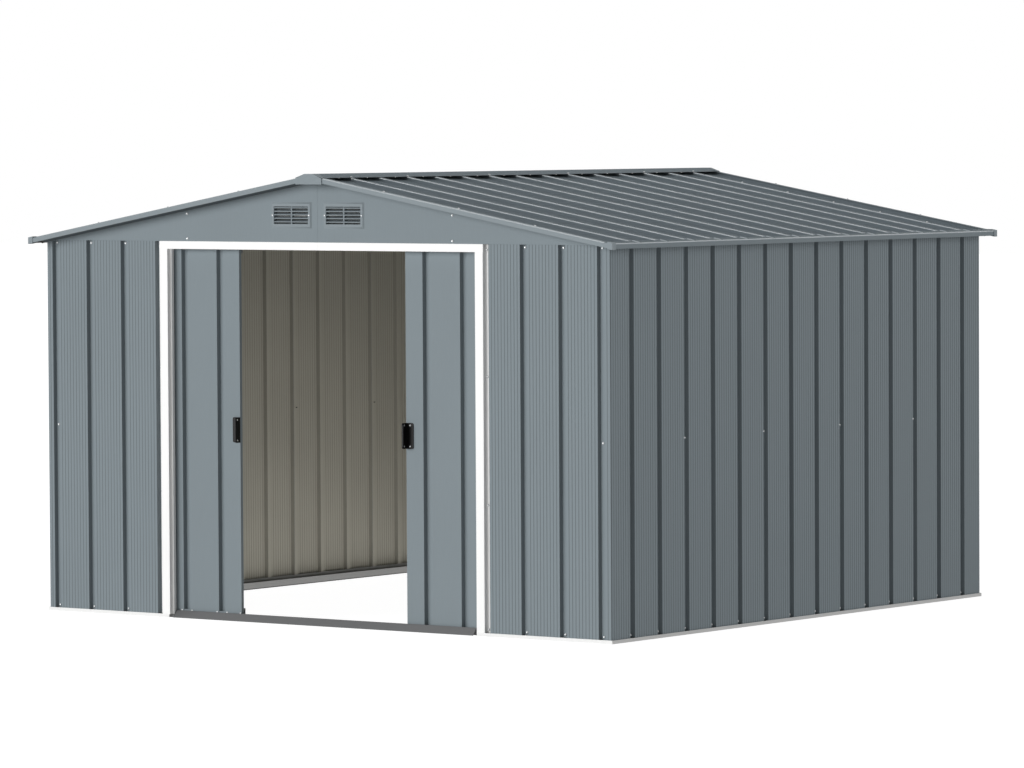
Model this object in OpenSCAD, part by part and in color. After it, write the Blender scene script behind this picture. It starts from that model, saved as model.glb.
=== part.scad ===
// Gable-roofed storage shed of roll-formed ribbed steel sheet, with two sliding doors.
// Millimetres. The front faces -Y, +X is to the right, +Z is up, and the ground is Z = 0.
// The origin is on the ground, in the middle of the plan.

/* [Walls] */
// Width over the rib crests of the two side walls
wall_w = 3100; // [2800:10:3800]
// Depth over the rib crests of the front and rear walls
wall_d = 2900; // [2400:10:3600]
// Height of a wall sheet above the ledge that it stands on
wall_h = 1649; // [1500:1:2200]
// Reach of a corner sheet along the front or rear wall
corner_leg_end = 50; // [40:1:90]
// Reach of a corner sheet along a side wall
corner_leg_side = 550; // [400:10:700]
// Outer radius of the bend in a corner sheet
corner_bend = 5; // [4:0.5:20]

/* [Ribbed sheet] */
// Drawn thickness of the ribbed and plain sheets
sheet_t = 1; // [0.8:0.1:1.5]
// Spacing of the ribs
rib_pitch = 200; // [150:5:260]
// Ribs that one sheet spans from lap to lap
sheet_ribs = 3; // [2:1:4]
// Depth of a rib in a wall or a door
rib_depth = 16; // [12:0.5:18]
// Width of a rib at its mouth
rib_mouth = 36; // [30:0.5:50]
// Width of the flat floor of a rib in a wall or a door
rib_floor = 24; // [20:0.5:28]
// Spacing of the fine grooves on the flats between ribs
groove_pitch = 17; // [12:0.5:25]
// Width of a fine groove
groove_w = 4; // [3:0.5:8]
// Depth of a fine groove
groove_depth = 0.8; // [0.4:0.1:1.6]
// Least distance from a rib to the nearest fine groove
groove_margin = 12; // [8:0.5:20]
// Clearance between lapped sheets
lap_gap = 0.3; // [0.2:0.05:0.6]

/* [Base] */
// Height of the ledge that the wall sheets stand on
ledge_h = 15; // [10:0.5:30]
// Reach of the ledge in front of the rib crests
ledge_out = 5; // [2:0.5:12]
// Height of a base rail's upright, behind the sheets
rail_h = 45; // [35:0.5:70]
// Height of a base rail's inner lip
rail_lip_h = 32; // [20:0.5:34]
// Depth of a base rail behind the rib crests
rail_depth = 50; // [40:0.5:52]
// Depth of a front base rail, clear of the doors' track
front_rail_depth = 30; // [24:0.5:40]
// Thickness of the rails and channels
rail_t = 1.5; // [1:0.1:2.5]

/* [Doorway] */
// Width between the inner edges of the two jamb faces
doorway_w = 1694; // [1400:2:1800]
// Height from the header's lower edge to the top of the wall sheets
header_h = 35; // [30:0.5:60]
// Width of a jamb's face
jamb_face = 42; // [30:0.5:60]
// Reach of the jamb and gable faces in front of the rib crests
frame_out = 2; // [1.5:0.5:8]
// Thickness of the jamb and header sheet
frame_t = 1.2; // [0.8:0.1:2]
// Depth of the jamb's first return, to its shoulder
jamb_step_depth = 16; // [8:0.5:20]
// Width of the jamb's shoulder
jamb_shoulder = 11; // [5:0.5:20]
// Width of the flange that a jamb lays in the rib beside it
jamb_flange = 17; // [14:0.5:18]
// Distance from a jamb's outer side to the middle of the rib beside it
jamb_rib_gap = 11; // [10:0.5:12]
// Height of the sill's top above the ground
sill_h = 31.5; // [15:0.5:33]
// Distance of the sill's front edge behind the wall's crests
sill_set_back = 2; // [1:0.5:6]
// Depth of the sill's ramp
sill_ramp = 24; // [15:0.5:25]
// Clearance between the sill and the doors
sill_door_gap = 5.5; // [5:0.5:8]
// Distance from the end of the sill to the jamb's shoulder
sill_end_gap = 6.5; // [6.5:0.5:20]
// Distance of the sill's middle from the doorway's middle
sill_shift = -6; // [-6:0.5:6]
// Height of the doors' lower track
track_h = 18; // [12:0.5:20]
// Width of the slot in the doors' lower track
track_slot = 15; // [12:0.5:18]

/* [Doors] */
// Width of one door
door_w = 870; // [750:2:900]
// Distance of the door's crests behind the wall's crests
door_set_back = 36; // [35.5:0.5:50]
// Clearance between the jamb's back edge and the door
door_front_gap = 7; // [5:0.5:12]
// Clearance between the door's lower edge and its track
door_track_gap = 5; // [5:0.5:20]
// Height that the door stands up behind the header
door_over_header = 11; // [3:0.5:20]
// Clearance between the door's top and the head channel
door_head_gap = 8; // [5:0.5:14]
// Depth of the fold down a door's edge
door_fold = 16; // [14:0.5:30]
// Distance from the leading edge to the first rib
door_first_rib = 110; // [60:1:150]
// Ribs in one door
door_ribs = 4; // [2:1:4]
// Leading edge of the left door from the middle of the doorway
left_door_at = 470; // [100:1:600]
// Leading edge of the right door from the middle of the doorway
right_door_at = 447; // [100:1:600]
// Height of a door rail
door_rail_h = 30; // [20:1:50]
// Depth of a door rail
door_rail_depth = 12; // [10:0.5:16]
// Distance from a door's edge to the middle of its hanger
hanger_inset = 110; // [60:5:200]
// Length of a hanger
hanger_len = 50; // [30:1:80]
// Running clearance of a hanger in the head channel
hanger_gap = 0.3; // [0.2:0.05:0.6]
// Clearance over a hanger's head
hanger_room = 6; // [5:0.5:8]
// Height of the head channel
channel_h = 24; // [22:0.5:30]
// Width of the head channel
channel_w = 28; // [26:0.5:34]
// Width of the slot in the head channel
channel_slot = 10; // [8:0.5:12]

/* [Handles] */
// Height of a handle
handle_h = 111; // [80:1:160]
// Width of a handle's plate
handle_plate = 40; // [30:0.5:70]
// Thickness of a handle's plate
handle_t = 3; // [2:0.1:5]
// Reach of a handle's grip in front of the door
handle_grip = 33; // [20:0.5:34]
// Thickness of a handle's grip
handle_wall = 4; // [3:0.5:6]
// Width of the lip along the front of a handle's grip
handle_lip = 8; // [5:0.5:12]
// Height of a handle's middle above the ground
handle_z = 838; // [700:1:1100]
// Corner radius of a handle
handle_r = 8; // [4:0.5:12]

/* [Roof] */
// Height of a rib in the roof
roof_rib_h = 12; // [9:0.5:16]
// Width of the flat top of a rib in the roof
roof_rib_flat = 16; // [14:0.5:20]
// Slope of the roof in degrees
roof_slope = 10; // [6:0.5:16]
// Height of the roof's underside above the wall's top at the side wall
eave_gap = 1.7; // [1.2:0.1:6]
// Reach of the roof's end ribs beyond the front and rear walls
verge_rib_out = 50; // [40:1:90]
// Reach of the eave trim beyond the side walls
eave_out = 54; // [45:1:90]
// Gap between the two slopes' sheets at the ridge, measured down one slope
ridge_gap = 15; // [6:1:20]
// Distance of the roof sheets' lower edge behind the eave trim
roof_set_in = 6; // [3:0.5:10]
// Depth of a rail along the top of a wall, behind the rib crests
top_rail_depth = 45; // [40:0.5:48]
// Half the width of the ridge beam
ridge_beam_half = 45; // [30:1:60]
// Depth of the ridge beam's sides
ridge_beam_drop = 35; // [20:1:60]
// Height of a purlin
purlin_h = 50; // [25:1:70]
// Width of a purlin
purlin_w = 40; // [25:1:70]
// Distance of a purlin from the ridge, measured down the slope
purlin_at = 741; // [500:1:900]

/* [Roof trim] */
// Thickness of the trims
trim_t = 1.2; // [0.8:0.1:2]
// Height of a verge trim's face
verge_face = 22; // [18:0.5:40]
// Width of a verge trim's top flange
verge_flange = 25; // [20:0.5:40]
// Reach of a verge trim's face beyond the end rib's middle
verge_face_out = 12; // [9:0.5:20]
// Width of a verge trim's lower lip
verge_lip = 14; // [6:0.5:20]
// Height of an eave trim's face
eave_face = 20; // [14:0.5:40]
// Width of the bevel along the top of a trim
trim_bevel = 3; // [2:0.5:6]
// Width of an eave trim's top flange
eave_flange = 40; // [20:0.5:60]
// Width of an eave trim's lower lip
eave_lip = 12; // [6:0.5:20]
// Width of an eave corner cap
corner_cap_w = 26; // [22:0.5:50]
// Thickness of an eave corner cap
corner_cap_t = 1.5; // [1:0.1:2.5]
// Drop of an eave corner cap below the eave trim
corner_cap_drop = 4; // [1:0.5:8]
// Half the width of the ridge cap's flat top
ridge_top_half = 23; // [15:0.5:45]
// Half the width of the ridge cap
ridge_cap_half = 72; // [60:0.5:120]
// Height of the ridge cap's top above the meeting line of the rib tops
ridge_cap_rise = 4.7; // [3:0.1:15]
// Width of the ridge cap's edge flange
ridge_flange = 8; // [6:0.5:20]
// Half the width of the ridge end cap
end_cap_half = 72; // [50:0.5:100]
// Height of the ridge end cap's plate
end_cap_h = 45.4; // [40:0.1:70]
// Height of the shoulders of the ridge end cap's plate
end_cap_shoulder = 26; // [18:0.5:32]
// Thickness of the ridge end cap's plate
end_cap_t = 3; // [2:0.5:5]

/* [Gables] */
// Drop from the roof's underside to the fold at the top of a gable
gable_drop = 12.6; // [8:0.1:25]
// Reach of the gable's fold in front of the wall's crests
gable_fold_out = 24; // [18:0.5:28]
// Width of the strip of that fold that lies against the roof
gable_fold_strip = 7; // [4:0.5:8]

/* [Gable vents] */
// Width of a vent's plate
vent_w = 213; // [150:1:260]
// Height of a vent's plate
vent_h = 100; // [70:1:120]
// Distance of a vent's middle from the gable's seam
vent_x = 144; // [120:1:250]
// Height of a vent's middle above the gable's lower edge
vent_z = 117; // [90:1:140]
// Reach of a vent's plate in front of the gable
vent_out = 5; // [3:0.5:12]
// Width of a vent's rim
vent_rim = 12; // [6:0.5:20]
// Slats in a vent
vent_slats = 5; // [3:1:9]
// Thickness of a slat
slat_t = 1.6; // [1:0.1:3]
// Height of the upright nose along the front of a slat
slat_nose = 2.5; // [2:0.5:6]
// Depth of a slat behind its nose
slat_depth = 16; // [10:0.5:20]
// Distance of a slat's nose behind the front of its plate
slat_set_back = 1.5; // [1:0.1:3]
// Rise of a slat behind its nose, in degrees
slat_tilt = 22; // [20:1:40]
// Width of the vent's middle bar
vent_mullion = 7; // [4:0.5:14]

/* [Hidden] */

paint_grey = "#868f94";
roof_grey = "#6a747a";
frame_white = "#f2f2f0";
galvanised = "#b4b6b6";
sill_grey = "#6e6e6e";
moulded_black = "#161718";

FRONT = 0;
RIGHT = 1;
REAR = 2;
LEFT = 3;
touch = 0.5;
seat_gap = 0.3;
cut = 50;

wall_top = ledge_h + wall_h;
wall_back = rib_depth + sheet_t;
lap_lift = sheet_t + lap_gap;
doorway_h = wall_top - header_h;
door_top = doorway_h + door_over_header;
door_foot = track_h + door_track_gap;
door_back = door_set_back + wall_back;
channel_foot = door_top + door_head_gap;
channel_top = channel_foot + channel_h;
channel_half = channel_w / 2;
slot_half = channel_slot / 2;
door_middle = door_back + door_rail_depth / 2;
gable_foot = wall_top - sheet_t;
jamb_outer = doorway_w / 2 + jamb_face;
jamb_back = door_set_back - door_front_gap;
jamb_rib = jamb_outer + jamb_rib_gap;
rise = tan(roof_slope);
apex = wall_top + eave_gap + rise * wall_w / 2;
rib_top = roof_rib_h + sheet_t;
ridge_z = apex + (rib_top + lap_lift + seat_gap) / cos(roof_slope);
roof_half = wall_w / 2 + eave_out;
roof_end = wall_d / 2 + verge_rib_out;
verge_front = roof_end + verge_face_out;
ridge_top_z = ridge_z + ridge_cap_rise;

// Unit normal to the left of the way from a to b
function left_of(a, b) = let (d = (b - a) / norm(b - a)) [-d.y, d.x];

// Corner i of a line, moved to the left by t with its corners kept sharp
function moved(line, i, t) =
    let (
        last = len(line) - 1,
        before = left_of(line[max(i - 1, 0)], line[max(i, 1)]),
        after = left_of(line[min(i, last - 1)], line[min(i + 1, last)])
    )
    line[i] + t * (before + after) / (1 + before * after);

// Outline of a sheet of thickness t that is folded along a line and lies to its left
function folded(line, t) = concat(line, [for (i = [len(line) - 1 : -1 : 0]) moved(line, i, t)]);

// A ribbed sheet is drawn as a line of [along, depth] points, with ribs $rib deep and $flat wide at their floor
$rib = rib_depth;
$flat = rib_floor;

// A whole rib about its middle c
function rib(c) = [
    [c - rib_mouth / 2, 0],
    [c - $flat / 2, $rib],
    [c + $flat / 2, $rib],
    [c + rib_mouth / 2, 0]
];

// The half rib that starts a sheet, with its floor moved by lift to lie on the sheet before it
function rib_start(c, lift) = [
    [c - $flat / 2 + touch, $rib + lift],
    [c + $flat / 2 - lift * (rib_mouth - $flat) / 2 / $rib, $rib + lift],
    [c + rib_mouth / 2, 0]
];

// The half rib that ends a sheet
function rib_end(c) = [
    [c - rib_mouth / 2, 0],
    [c - $flat / 2, $rib],
    [c + $flat / 2 - touch, $rib]
];

// The fine grooves on the flat from a to b, set out from its middle
function grooves(a, b) =
    let (
        room = b - a - 2 * groove_margin,
        count = room < 0 ? 0 : floor(room / groove_pitch) + 1
    )
    [for (i = [0 : 1 : count - 1])
        let (c = (a + b) / 2 + (i - (count - 1) / 2) * groove_pitch)
        each [[c - groove_w / 2, 0], [c, groove_depth], [c + groove_w / 2, 0]]
    ];

// The flat between the ribs at c and d
function flat(c, d) = grooves(c + rib_mouth / 2, d - rib_mouth / 2);

// A sheet from the rib at a to the rib at b, with whole ribs at an even pitch between them
function sheet_line(a, b, lift) =
    let (
        count = max(1, round((b - a) / rib_pitch)),
        step = (b - a) / count
    )
    concat(
        rib_start(a, lift),
        [for (i = [1 : 1 : count - 1])
            each concat(flat(a + (i - 1) * step, a + i * step), rib(a + i * step))
        ],
        flat(b - step, b),
        rib_end(b)
    );

// Ribs at the even pitch in a corner sheet's leg, counted from its lap back to the corner
function leg_ribs(reach) = [for (c = [reach : -rib_pitch : rib_mouth / 2 + corner_bend]) c];

// A corner sheet in plan: legs a and b either side of a rounded bend at the origin
function corner_line(a, b) =
    let (
        first = leg_ribs(a),
        second = leg_ribs(b),
        ends = [first[len(first) - 1], second[len(second) - 1]],
        near = concat(
            rib_start(-a, -lap_lift),
            [for (i = [1 : 1 : len(first) - 1]) each concat(flat(-first[i - 1], -first[i]), rib(-first[i]))],
            grooves(-ends[0] + rib_mouth / 2, -corner_bend)
        ),
        far = concat(
            grooves(corner_bend, ends[1] - rib_mouth / 2),
            [for (i = [len(second) - 1 : -1 : 1]) each concat(rib(second[i]), flat(second[i], second[i - 1]))],
            rib_end(b)
        ),
        bend = [for (q = [0 : 15 : 90]) corner_bend * [sin(q) - 1, 1 - cos(q)]]
    )
    concat(near, bend, [for (p = far) [-p.y, p.x]]);

// Moves a piece drawn as [along, depth, up] to one of the four walls
function wall_out(side) = (side % 2 == 0 ? wall_d : wall_w) / 2;
function wall_half(side) = wall_out(side + 1);
module on_wall(side) {
    rotate([0, 0, 90 * side]) translate([0, -wall_out(side), 0]) children();
}

// Carries a [depth, up] profile along a wall, or a [y, z] profile along X
module along(length) {
    rotate([90, 0, 90]) linear_extrude(length, center = true) children();
}

// Carries an [x, z] profile along Y
module across(length) {
    rotate([90, 0, 0]) linear_extrude(length, center = true) children();
}

// Places a piece drawn as [down the slope, y, off the roof's underside] on the right slope
module on_slope() {
    translate([0, 0, apex]) rotate([0, roof_slope, 0]) children();
}

module both_sides() {
    children();
    mirror([1, 0, 0]) children();
}

module both_ends() {
    children();
    mirror([0, 1, 0]) children();
}

// A row of lapped wall sheets between two laps
module wall_sheets(from, to) {
    count = max(1, round((to - from) / (sheet_ribs * rib_pitch)));
    step = (to - from) / count;
    translate([0, 0, ledge_h])
        for (i = [0 : count - 1])
            linear_extrude(wall_h)
                polygon(folded(sheet_line(from + i * step, from + (i + 1) * step, -lap_lift), sheet_t));
}

module corner_sheet(side) {
    a = side % 2 == 0 ? corner_leg_end : corner_leg_side;
    b = side % 2 == 0 ? corner_leg_side : corner_leg_end;
    color(paint_grey)
        on_wall(side)
            translate([wall_half(side), 0, ledge_h])
                linear_extrude(wall_h) polygon(folded(corner_line(a, b), sheet_t));
}

// Base rails: an outer ledge that carries the sheets, an upright that takes their screws, a floor
// and, away from the doors, an inner lip
module base_rail_profile(depth, lip) {
    polygon(folded([[wall_back + rail_t / 2, ledge_h], [-ledge_out, ledge_h], [-ledge_out, 0]], rail_t));
    polygon(folded(concat(
        [[wall_back, rail_h], [wall_back, 0], [depth, 0]],
        lip > 0 ? [[depth, lip]] : []
    ), rail_t));
}

// A base rail along one wall, with each end mitred at a corner (1) or square (0)
module base_rail(side, from, to, mitre_from, mitre_to, depth, lip) {
    color(frame_white)
        on_wall(side)
            intersection() {
                translate([(from + to) / 2, 0, 0]) along(to - from + cut) base_rail_profile(depth, lip);
                linear_extrude(rail_h + cut)
                    polygon([
                        [from - mitre_from * ledge_out, -ledge_out],
                        [to + mitre_to * ledge_out, -ledge_out],
                        [to - mitre_to * depth, depth],
                        [from + mitre_from * depth, depth]
                    ]);
            }
}

module base_rail_left() {
    base_rail(LEFT, -wall_d / 2, wall_d / 2, 1, 1, rail_depth, rail_lip_h);
}

module base_rail_right() {
    base_rail(RIGHT, -wall_d / 2, wall_d / 2, 1, 1, rail_depth, rail_lip_h);
}

module base_rail_rear() {
    base_rail(REAR, -wall_w / 2, wall_w / 2, 1, 1, rail_depth, rail_lip_h);
}

module base_rails_front() {
    both_sides()
        base_rail(FRONT, doorway_w / 2 + 2 * frame_t, wall_w / 2, 0, 1, front_rail_depth, 0);
}

// Lower track: a channel behind the front rails whose slot keeps the doors' tongues in line
module bottom_door_track() {
    half = track_slot / 2 + rail_t;
    color(galvanised)
        on_wall(FRONT)
            along(wall_w - 2 * (rail_depth + seat_gap))
                polygon(folded([
                    [door_middle - half, track_h],
                    [door_middle - half, 0],
                    [door_middle + half, 0],
                    [door_middle + half, track_h]
                ], rail_t));
}

// Sill: a ramp up to the doors, and a floor that reaches their track
module door_sill() {
    length = doorway_w - 2 * (jamb_shoulder + sill_end_gap);
    back = door_set_back - sill_door_gap;
    foot = door_middle - track_slot / 2 - rail_t - seat_gap;
    color(sill_grey)
        on_wall(FRONT)
            translate([sill_shift, 0, 0])
                along(length)
                    intersection() {
                        polygon(folded([
                            [foot, rail_t],
                            [back, rail_t],
                            [back, sill_h],
                            [sill_set_back + sill_ramp, sill_h],
                            [sill_set_back, 0]
                        ], rail_t));
                        square([foot, sill_h]);
                    }
}

module corner_sheet_front_right() {
    corner_sheet(FRONT);
}

module corner_sheet_rear_right() {
    corner_sheet(RIGHT);
}

module corner_sheet_rear_left() {
    corner_sheet(REAR);
}

module corner_sheet_front_left() {
    corner_sheet(LEFT);
}

// The sheet beside the doorway starts or ends in the rib that the jamb's flange lies in
module front_wall_left() {
    color(paint_grey) on_wall(FRONT) wall_sheets(corner_leg_end - wall_w / 2, -jamb_rib);
}

module front_wall_right() {
    color(paint_grey)
        on_wall(FRONT)
            translate([0, 0, ledge_h])
                linear_extrude(wall_h)
                    polygon(folded(sheet_line(jamb_rib, wall_w / 2 - corner_leg_end, 0), sheet_t));
}

module left_wall() {
    reach = wall_d / 2 - corner_leg_side;
    color(paint_grey) on_wall(LEFT) wall_sheets(-reach, reach);
}

module right_wall() {
    reach = wall_d / 2 - corner_leg_side;
    color(paint_grey) on_wall(RIGHT) wall_sheets(-reach, reach);
}

module rear_wall() {
    reach = wall_w / 2 - corner_leg_end;
    color(paint_grey) on_wall(REAR) wall_sheets(-reach, reach);
}

// Jamb in plan: stepped return into the doorway, face, outer side and flange in the rib
module jamb() {
    inner = doorway_w / 2;
    lap = rib_depth - frame_t;
    color(frame_white)
        on_wall(FRONT)
            translate([0, 0, ledge_h])
                linear_extrude(doorway_h - ledge_h)
                    polygon(folded([
                        [inner - jamb_shoulder, jamb_back],
                        [inner - jamb_shoulder, jamb_step_depth - frame_out],
                        [inner, jamb_step_depth - frame_out],
                        [inner, -frame_out],
                        [jamb_outer, -frame_out],
                        [jamb_outer, lap],
                        [jamb_outer + jamb_flange, lap]
                    ], frame_t));
}

module door_jamb_right() {
    jamb();
}

module door_jamb_left() {
    mirror([1, 0, 0]) jamb();
}

// Header in two halves that meet over the middle of the doorway
module door_header() {
    half = jamb_outer - touch / 2;
    color(frame_white)
        on_wall(FRONT)
            both_sides()
                translate([(jamb_outer + touch / 2) / 2, 0, 0])
                    along(half)
                        polygon(folded([
                            [jamb_back, doorway_h + frame_t],
                            [frame_t - frame_out, doorway_h + frame_t],
                            [frame_t - frame_out, gable_foot - frame_t],
                            [wall_back, gable_foot - frame_t]
                        ], frame_t));
}

// Head channel: backs the front wall's top and carries the doors on its two lower lips
module door_head_channel() {
    front = door_middle - channel_half;
    back = door_middle + channel_half;
    color(galvanised)
        on_wall(FRONT)
            along(wall_w - 2 * top_rail_depth) {
                polygon(folded([
                    [door_middle + slot_half, channel_foot],
                    [back, channel_foot],
                    [back, channel_top],
                    [wall_back, channel_top],
                    [wall_back, doorway_h + 2 * frame_t]
                ], rail_t));
                polygon(folded([
                    [front, channel_top - rail_t / 2],
                    [front, channel_foot],
                    [door_middle - slot_half, channel_foot]
                ], rail_t));
            }
}

// Height of the roof's underside over a point that lies depth behind the side wall's crests
function roof_over(depth) = wall_top + eave_gap + rise * depth;

module side_top_rails() {
    color(galvanised)
        both_sides()
            on_wall(RIGHT)
                along(wall_d - 2 * wall_back)
                    polygon(folded([
                        [top_rail_depth, roof_over(top_rail_depth)],
                        [wall_back, roof_over(wall_back)],
                        [wall_back, channel_foot],
                        [top_rail_depth, channel_foot]
                    ], rail_t));
}

module rear_top_rail() {
    color(galvanised)
        on_wall(REAR)
            along(wall_w - 2 * top_rail_depth)
                polygon(folded([
                    [top_rail_depth, wall_top],
                    [wall_back, wall_top],
                    [wall_back, channel_foot],
                    [top_rail_depth, channel_foot]
                ], rail_t));
}

// Right half of the front gable: a plain plate, a lip on the wall's crests and a fold out to the roof
module gable_half() {
    seam = touch / 2;
    face = -wall_d / 2 - frame_out;
    fold = apex - gable_drop;
    plate_end = (fold - gable_foot) / rise;
    strip = -wall_d / 2 - gable_fold_out;
    drop = gable_drop * cos(roof_slope);
    opening_w = vent_w - 2 * (vent_rim - slat_t - seat_gap);
    opening_h = vent_h - 2 * (vent_rim - slat_t - seat_gap);
    color(paint_grey)
        difference() {
            union() {
                translate([0, face + sheet_t, 0])
                    rotate([90, 0, 0])
                        linear_extrude(sheet_t)
                            polygon([
                                [seam, gable_foot],
                                [plate_end, gable_foot],
                                [seam, fold - rise * seam]
                            ]);
                translate([seam, face, gable_foot]) cube([plate_end - 4 * sheet_t - seam, frame_out, sheet_t]);
                intersection() {
                    on_slope()
                        translate([roof_half / 2, 0, 0])
                            along(roof_half + cut)
                                polygon(folded([
                                    [strip - gable_fold_strip, -sheet_t],
                                    [strip, -sheet_t],
                                    [face, -drop],
                                    [face, -drop - sheet_t]
                                ], sheet_t));
                    translate([seam, -wall_d, 0])
                        cube([roof_half - corner_cap_w - seam, wall_d, apex + cut]);
                }
            }
            translate([vent_x - opening_w / 2, -wall_d, gable_foot + vent_z - opening_h / 2])
                cube([opening_w, wall_d, opening_h]);
        }
}

module front_gable_right() {
    gable_half();
}

module front_gable_left() {
    mirror([1, 0, 0]) gable_half();
}

module rear_gable_right() {
    mirror([0, 1, 0]) gable_half();
}

module rear_gable_left() {
    mirror([1, 0, 0]) mirror([0, 1, 0]) gable_half();
}

// Vent: a rimmed plate on the gable's face and a sleeve behind it, with noses, rising slats and a middle bar
module vent() {
    mouth_w = vent_w - 2 * vent_rim;
    mouth_h = vent_h - 2 * vent_rim;
    step = mouth_h / vent_slats;
    nose_back = slat_set_back + slat_t;
    back = nose_back + slat_depth + 2 * slat_t;
    translate([vent_x, -wall_d / 2 - frame_out - vent_out, gable_foot + vent_z])
        union() {
            difference() {
                union() {
                    translate([-vent_w / 2, 0, -vent_h / 2]) cube([vent_w, vent_out, vent_h]);
                    translate([-mouth_w / 2 - slat_t, vent_out / 2, -mouth_h / 2 - slat_t])
                        cube([mouth_w + 2 * slat_t, back - vent_out / 2, mouth_h + 2 * slat_t]);
                }
                translate([-mouth_w / 2, -cut, -mouth_h / 2]) cube([mouth_w, 2 * cut, mouth_h]);
            }
            intersection() {
                translate([-(mouth_w + slat_t) / 2, 0, -(mouth_h + slat_t) / 2])
                    cube([mouth_w + slat_t, back, mouth_h + slat_t]);
                for (i = [-1 : vent_slats - 1])
                    translate([0, 0, (i + 0.5) * step - mouth_h / 2])
                        along(vent_w)
                            polygon(folded([
                                [nose_back + slat_depth, slat_nose + slat_depth * tan(slat_tilt)],
                                [nose_back, slat_nose],
                                [nose_back, 0]
                            ], -slat_t));
            }
            translate([-vent_mullion / 2, vent_out, -(mouth_h + slat_t) / 2])
                cube([vent_mullion, back - slat_t - vent_out, mouth_h + slat_t]);
        }
}

module front_vents() {
    color(paint_grey) both_sides() vent();
}

module rear_vents() {
    color(paint_grey) mirror([0, 1, 0]) both_sides() vent();
}

// Ridge beam: a channel whose top is bent to the two slopes
module ridge_beam() {
    half = ridge_beam_half;
    drop = ridge_beam_drop;
    edge = apex - rise * half;
    color(galvanised)
        across(wall_d + 2 * (frame_out - sheet_t - seat_gap))
            polygon(folded([
                [half, edge - drop],
                [half, edge],
                [0, apex],
                [-half, edge],
                [-half, edge - drop]
            ], rail_t));
}

module roof_purlins() {
    color(galvanised)
        both_sides()
            on_slope()
                across(wall_d + 2 * (frame_out - sheet_t - seat_gap))
                    polygon(folded([
                        [purlin_at + purlin_w / 2, 0],
                        [purlin_at - purlin_w / 2, 0],
                        [purlin_at - purlin_w / 2, -purlin_h],
                        [purlin_at + purlin_w / 2, -purlin_h]
                    ], rail_t));
}

// One slope of lapped roof sheets, with their ribs raised and the end ribs under the verge trims
module roof_slope_sheets() {
    count = max(1, round(2 * roof_end / (sheet_ribs * rib_pitch)));
    step = 2 * roof_end / count;
    length = (roof_half - trim_t - roof_set_in) / cos(roof_slope) - ridge_gap;
    $rib = roof_rib_h;
    $flat = roof_rib_flat;
    color(roof_grey)
        on_slope()
            translate([ridge_gap + length / 2, 0, 0])
                for (i = [0 : count - 1])
                    along(length)
                        polygon(folded(
                            sheet_line(i * step - roof_end, (i + 1) * step - roof_end, i == 0 ? 0 : lap_lift),
                            sheet_t
                        ));
}

module roof_right() {
    roof_slope_sheets();
}

module roof_left() {
    mirror([1, 0, 0]) roof_slope_sheets();
}

// Verge trim: lower lip, face, bevel and a flange on the end rib
module verge_trim() {
    face = trim_t - verge_front;
    foot = rib_top - verge_face + 2 * trim_t;
    color(paint_grey)
        intersection() {
            on_slope()
                translate([roof_half / 2, 0, 0])
                    along(roof_half + 2 * cut)
                        polygon(folded([
                            [face + verge_lip, foot],
                            [face, foot],
                            [face, rib_top - trim_bevel],
                            [face + trim_bevel, rib_top],
                            [face + verge_flange, rib_top]
                        ], trim_t));
            translate([touch / 2, -wall_d, 0])
                cube([roof_half - corner_cap_w - touch / 2 + trim_t, wall_d, 2 * apex]);
        }
}

module front_verge_trims() {
    both_sides() verge_trim();
}

module rear_verge_trims() {
    mirror([0, 1, 0]) both_sides() verge_trim();
}

// Height of the rib tops' plane at a distance x from the ridge
function rib_plane(x) = ridge_z - rise * x;

// Eave trim: a flange that lies on the rib tops, a face and a lower lip
module eave_trims() {
    face = roof_half - trim_t;
    inner = face - eave_flange;
    foot = rib_plane(face) - eave_face + 2 * trim_t;
    color(paint_grey)
        both_sides()
            across(2 * (verge_front - seat_gap))
                polygon(folded([
                    [inner, rib_plane(inner)],
                    [face, rib_plane(face)],
                    [face, foot],
                    [face - eave_lip, foot]
                ], trim_t));
}

// Corner cap: a moulded box over the ends of a verge trim and an eave trim, which follows the roof's
// slope and is open on its inner sides
module eave_corner_caps() {
    outer = roof_half + seat_gap;
    over = 2 * trim_t + seat_gap;
    under = eave_face + corner_cap_drop;
    color(paint_grey)
        both_ends()
            both_sides()
                difference() {
                    translate([0, corner_cap_w / 2 - verge_front - corner_cap_t, 0])
                        across(corner_cap_w)
                            cap_section(outer + corner_cap_t - corner_cap_w, outer + corner_cap_t,
                                over + corner_cap_t, under + corner_cap_t);
                    translate([0, corner_cap_w - verge_front, 0])
                        across(2 * corner_cap_w)
                            cap_section(outer - 2 * corner_cap_w, outer, over, under);
                }
}

// A band from x = a to x = b that lies from over above the rib tops' plane to under below it
module cap_section(a, b, over, under) {
    polygon([
        [a, rib_plane(a) - under],
        [b, rib_plane(b) - under],
        [b, rib_plane(b) + over],
        [a, rib_plane(a) + over]
    ]);
}

// Ridge cap in section: flat top, two falls and a flange that lies on the rib tops of each slope
module ridge_cap() {
    inner = ridge_cap_half - ridge_flange;
    color(roof_grey)
        across(2 * (verge_front - verge_flange) - touch)
            polygon(folded([
                [-ridge_cap_half, rib_plane(ridge_cap_half)],
                [-inner, rib_plane(inner)],
                [-ridge_top_half, ridge_top_z],
                [ridge_top_half, ridge_top_z],
                [inner, rib_plane(inner)],
                [ridge_cap_half, rib_plane(ridge_cap_half)]
            ], trim_t));
}

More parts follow.
